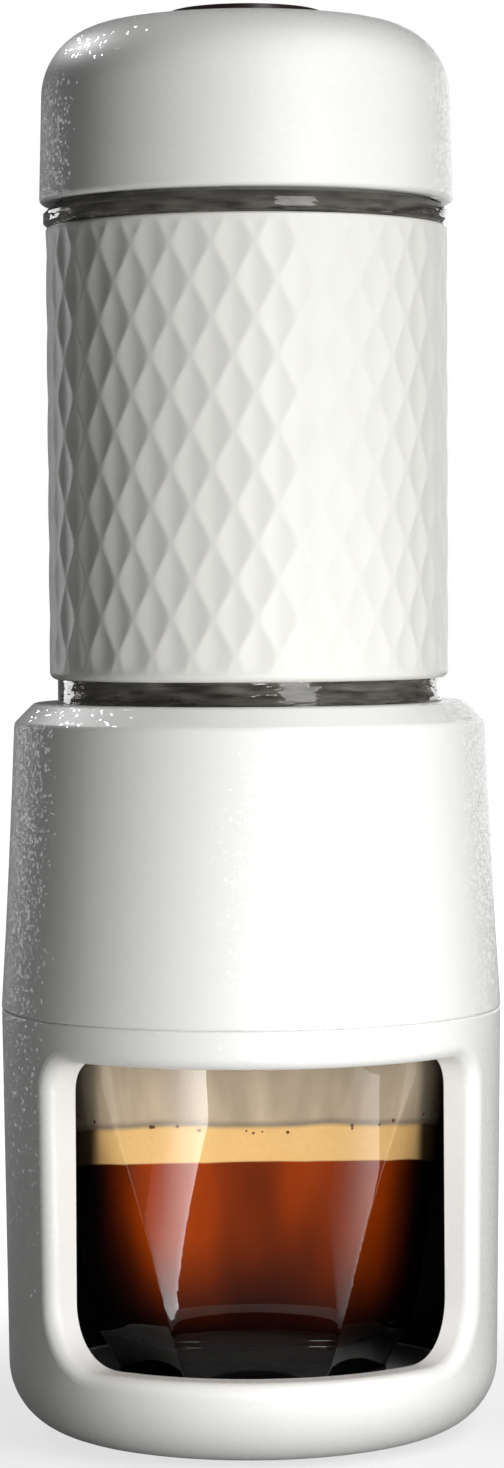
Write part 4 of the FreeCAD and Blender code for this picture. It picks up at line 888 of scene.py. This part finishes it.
class MAKER_OT_pump(bpy.types.Operator):
    """Finish the pump in the tank"""

    bl_idname = "maker.pump"
    bl_label = "Pump"

    def execute(self, context):
        dress(["head_lid", "pump_cylinder", "valve_block"], moulded("grey_polypropylene", "#A9ABAD", 0.45))
        dress(["piston_head"], moulded("black_glass_filled_nylon", "#191919", 0.5))
        dress(["rod_bush"], moulded("natural_acetal", "#DEDBD0", 0.4))
        dress(
            ["cylinder_seal", "rod_wiper", "piston_seal_low", "piston_seal_high"],
            moulded("black_silicone_seal", "#1E1E1E", 0.6),
        )
        dress(["head_gasket"], moulded("white_silicone_gasket", "#E2E2DF", 0.55))
        dress(
            ["valve_retainer", "outlet_ball", "piston_rod"],
            brushed_steel("drawn_stainless_steel", "#A7A8AA", "#CDCECF", 0.25),
        )
        dress(["cap_hub", "cap_screw"], brushed_steel("zinc_plated_steel", *ZINC))
        return {"FINISHED"}


class MAKER_OT_springs(bpy.types.Operator):
    """Make the return spring's coil and copy the valve spring, both in spring steel"""

    bl_idname = "maker.springs"
    bl_label = "Springs"

    def execute(self, context):
        steel = brushed_steel("drawn_spring_steel", "#9C9D9F", "#C4C5C6", 0.28)
        wire, turns = 0.7 * MM, 7
        radius, low, high = node_size("return_spring")
        low, high = low + wire, high - wire
        spring = new_piece("return_coil", coil(radius - wire, wire, low, high, turns, STROKE), crease=60.0)
        settle(spring, None, steel, ["return_spring"])
        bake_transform(spring)

        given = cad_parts["valve_spring"]
        mesh = given.data.copy()
        mesh.transform(given.matrix_world)
        spring = placed("valve_coil", mesh)
        settle(spring, "pump_head", steel, ["valve_spring"])
        low, high = node_size("valve_spring")[1:]
        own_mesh(spring)
        return {"FINISHED"}


class MAKER_OT_brewing(bpy.types.Operator):
    """Finish the brew chamber, the basket and their seals"""

    bl_idname = "maker.brewing"
    bl_label = "Brewing pieces"

    def execute(self, context):
        dress(["brew_chamber"], moulded("black_heat_proof_nylon", "#171717", 0.5))
        dress(["outlet_nozzle"], moulded("black_silicone_nozzle", "#202020", 0.6))
        dress(["group_gasket"], moulded("white_silicone_group_gasket", "#E2E2DF", 0.55))
        dress(["body_deck", "thread_liner"], moulded("grey_liner_abs", "#9FA1A3", 0.45))
        dress(
            ["filter_basket", "shower_screen", "shower_screw"],
            brushed_steel("spun_stainless_steel", "#A2A3A5", "#C9CACB", 0.3),
        )
        dress(["deck_screws"], brushed_steel("zinc_plated_deck_screws", *ZINC))
        return {"FINISHED"}


class MAKER_OT_foot(bpy.types.Operator):
    """Finish the base's plate, screws, foot and mat"""

    bl_idname = "maker.foot"
    bl_label = "Foot and mat"

    def execute(self, context):
        dress(["base_plate"], moulded("grey_abs_plate", "#9A9C9E", 0.5))
        dress(["foot_pad"], moulded("grey_foot_rubber", "#47484A", 0.75))
        dress(["cup_mat"], moulded("black_mat_silicone", "#161618", 0.6))
        dress(["base_screws"], brushed_steel("zinc_plated_base_screws", *ZINC))
        return {"FINISHED"}


# -------------------------------- stage
def seen(tree, glossy):
    """1 for rays from the eye or through clear pieces, less for gloss, 0 for light on matt surfaces."""
    path = add_node(tree, "ShaderNodeLightPath")
    rays = {0: path["Is Camera Ray"], 1: path["Is Transmission Ray"]}
    clear = add_node(tree, "ShaderNodeMath", rays, operation="MAXIMUM")[0]
    gloss = add_node(tree, "ShaderNodeMath", {0: path["Is Glossy Ray"], 1: glossy}, operation="MULTIPLY")[0]
    return add_node(tree, "ShaderNodeMath", {0: clear, 1: gloss}, operation="MAXIMUM")[0]


def lay_floor(stage):
    """A pale painted floor that runs into the backdrop a little way from the maker."""
    sides = 64
    rim = round_ring(stage.floor_radius, 0.0, sides)
    faces = [[step, (step + 1) % sides, sides] for step in range(sides)]
    floor = new_piece("floor", (rim + [(0, 0, 0)], faces))
    material, tree, shader, place = new_material(
        "painted_studio_floor", Roughness=0.9, Emission_Color=linear("#FFFFFF")
    )
    # gloss shows the lit floor darker than it is, so the glass stays clear of its veil
    gloss = add_node(tree, "ShaderNodeLightPath")["Is Glossy Ray"]
    layers = {"Factor": gloss, "A": linear("#858585"), "B": linear("#101010")}
    paint = add_node(tree, "ShaderNodeMix", layers, data_type="RGBA")["Result"]
    reach = add_node(tree, "ShaderNodeVectorMath", {0: place}, operation="LENGTH")["Value"]
    fade = {"From Min": 0.04, "From Max": stage.floor_fade, "To Min": stage.floor_glow, "To Max": 1.0}
    spread = add_node(tree, "ShaderNodeMapRange", {"Value": reach, **fade}, **SMOOTH)["Result"]
    glow = add_node(tree, "ShaderNodeMath", {0: seen(tree, stage.glossy), 1: spread}, operation="MULTIPLY")[0]
    feed(shader, {"Base Color": paint, "Emission Strength": glow})
    floor.data.materials.append(material)


def light_backdrop(stage):
    """A white world that the eye sees whole, gloss dimly and matt surfaces hardly at all."""
    world = bpy.data.worlds.new("studio")
    bpy.context.scene.world = world
    world.use_nodes = True
    tree = world.node_tree
    strength = add_node(
        tree, "ShaderNodeMath", {0: seen(tree, stage.glossy), 1: 1 - stage.ambient, 2: stage.ambient},
        operation="MULTIPLY_ADD",
    )[0]
    feed(tree.nodes["Background"], {"Color": linear("#FFFFFF"), "Strength": strength})


def softbox(name, place, target, size, power):
    """A rectangular studio light that faces a point and isn't seen itself."""
    light = bpy.data.lights.new(name, "AREA")
    light.shape = "RECTANGLE"
    light.size, light.size_y = size
    light.energy = power
    lamp = placed(name, light)
    lamp.location = place
    lamp.visible_camera = False
    lamp.rotation_euler = (Vector(target) - Vector(place)).to_track_quat("-Z", "Y").to_euler()
    return lamp


def grade(light, low, high):
    """Let a light's strength run from low to high across its width."""
    light.use_nodes = True
    tree = light.node_tree
    spot = add_node(tree, "ShaderNodeNewGeometry")["Parametric"]
    across = add_node(tree, "ShaderNodeSeparateXYZ", {"Vector": spot})["X"]
    span = {"Value": across, "To Min": low, "To Max": high}
    share = add_node(tree, "ShaderNodeMapRange", span, **SMOOTH)["Result"]
    feed(tree.nodes["Emission"], {"Strength": share})


def hang_lights(stage):
    """The softboxes round the maker and the strips on the floor beside it."""
    middle = (0, 0, MAKER_TOP / 2)
    # a tall softbox stands close, so its light falls off quickly round the maker
    softbox("key_right", (0.078, -0.184, 0.23), (0, 0, 0.23), (0.07, 0.4), stage.key)
    softbox("key_low", (0.06, -0.21, 0.02), (0, 0, 0.01), (0.14, 0.034), stage.key_low)
    softbox("top_right", (0.4, -0.22, 0.72), middle, (0.3, 0.3), stage.top)
    softbox("edge_left", (-0.44, 0.58, 0.15), middle, (0.2, 0.3), stage.edge)
    softbox("back_fill", (0.45, 1.0, 0.12), middle, (0.7, 0.7), stage.fill)
    glint = softbox("glint_back_left", (-0.5, 0.56, 0.71), middle, (0.13, 0.13), stage.glint)
    glint.visible_diffuse = False
    # strips on the floor, out of the picture, that only the glass's facets mirror
    mirror = bpy.data.collections.new("mirrors_the_strips")
    mirror.objects.link(bpy.data.objects["cut_glass"])
    for side, place, heading, width, power in (
        ("left", (-0.079, -0.072, 0.002), -33.0, 0.08, stage.strip),
        ("right", (0.1, -0.058, 0.002), 60.0, 0.075, stage.strip * 0.35),
    ):
        # a strip faces straight up, but for a hair that sets its heading
        turn = math.radians(heading)
        leaning = Vector((math.sin(turn), -math.cos(turn), 100.0)) * MM
        strip = softbox("strip_low_" + side, place, Vector(place) + leaning, (width, 0.14), power)
        strip.light_linking.receiver_collection = mirror
        grade(strip.data, 1.0, 0.05)


def aim_camera(stage):
    """The camera that the main picture is taken with."""
    lens = bpy.data.cameras.new("view")
    lens.sensor_width = 36.0
    lens.lens = stage.lens
    lens.shift_x, lens.shift_y = stage.shift_x, stage.shift_y
    camera = placed("view", lens)
    away = Vector((-math.sin(stage.turn), -math.cos(stage.turn), 0)) * stage.distance
    camera.location = away + Vector((0, 0, stage.eye))
    level = (-away).to_track_quat("-Z", "Y").to_matrix()
    roll = Matrix.Rotation(stage.roll, 3, -away.normalized())
    camera.rotation_euler = (roll @ level).to_euler()
    bpy.context.scene.camera = camera


class MAKER_OT_stage(bpy.types.Operator):
    """Set the floor, the studio light and the camera"""

    bl_idname = "maker.stage"
    bl_label = "Stage"

    def execute(self, context):
        stage = context.scene.maker_stage
        lay_floor(stage)
        light_backdrop(stage)
        hang_lights(stage)
        aim_camera(stage)
        context.scene.view_settings.view_transform = "Standard"
        return {"FINISHED"}


class MAKER_PT_panel(bpy.types.Panel):
    """The maker's sizes, colours and steps"""

    bl_idname = "MAKER_PT_panel"
    bl_label = "Espresso maker"
    bl_space_type = "VIEW_3D"
    bl_region_type = "UI"
    bl_category = "Espresso maker"

    def draw(self, context):
        for name in SETTINGS:
            box = self.layout.box()
            group = getattr(context.scene, name)
            for key in group.bl_rna.properties.keys():
                if key not in ("rna_type", "name"):
                    box.prop(group, key)
        for step in STEPS:
            self.layout.operator(step.bl_idname)


SETTINGS = {
    "maker_grip": MakerGripSizes,
    "maker_cup": MakerCupSizes,
    "maker_colours": MakerColours,
    "maker_stage": MakerStage,
}
STEPS = (
    MAKER_OT_shells, MAKER_OT_grip, MAKER_OT_tank, MAKER_OT_badge, MAKER_OT_glass, MAKER_OT_coffee,
    MAKER_OT_pump, MAKER_OT_springs, MAKER_OT_brewing, MAKER_OT_foot, MAKER_OT_stage,
)


def register():
    for kind in (*SETTINGS.values(), *STEPS, MAKER_PT_panel):
        bpy.utils.register_class(kind)
    for name, kind in SETTINGS.items():
        setattr(bpy.types.Scene, name, bpy.props.PointerProperty(type=kind))


def unregister():
    for name in SETTINGS:
        delattr(bpy.types.Scene, name)
    for kind in reversed((*SETTINGS.values(), *STEPS, MAKER_PT_panel)):
        bpy.utils.unregister_class(kind)


def main():
    register()
    bpy.ops.maker.shells()
    bpy.ops.maker.grip()
    bpy.ops.maker.tank()
    bpy.ops.maker.badge()
    bpy.ops.maker.glass()
    bpy.ops.maker.coffee()
    bpy.ops.maker.pump()
    bpy.ops.maker.springs()
    bpy.ops.maker.brewing()
    bpy.ops.maker.foot()
    bpy.ops.maker.stage()


if __name__ == "__main__":
    main()
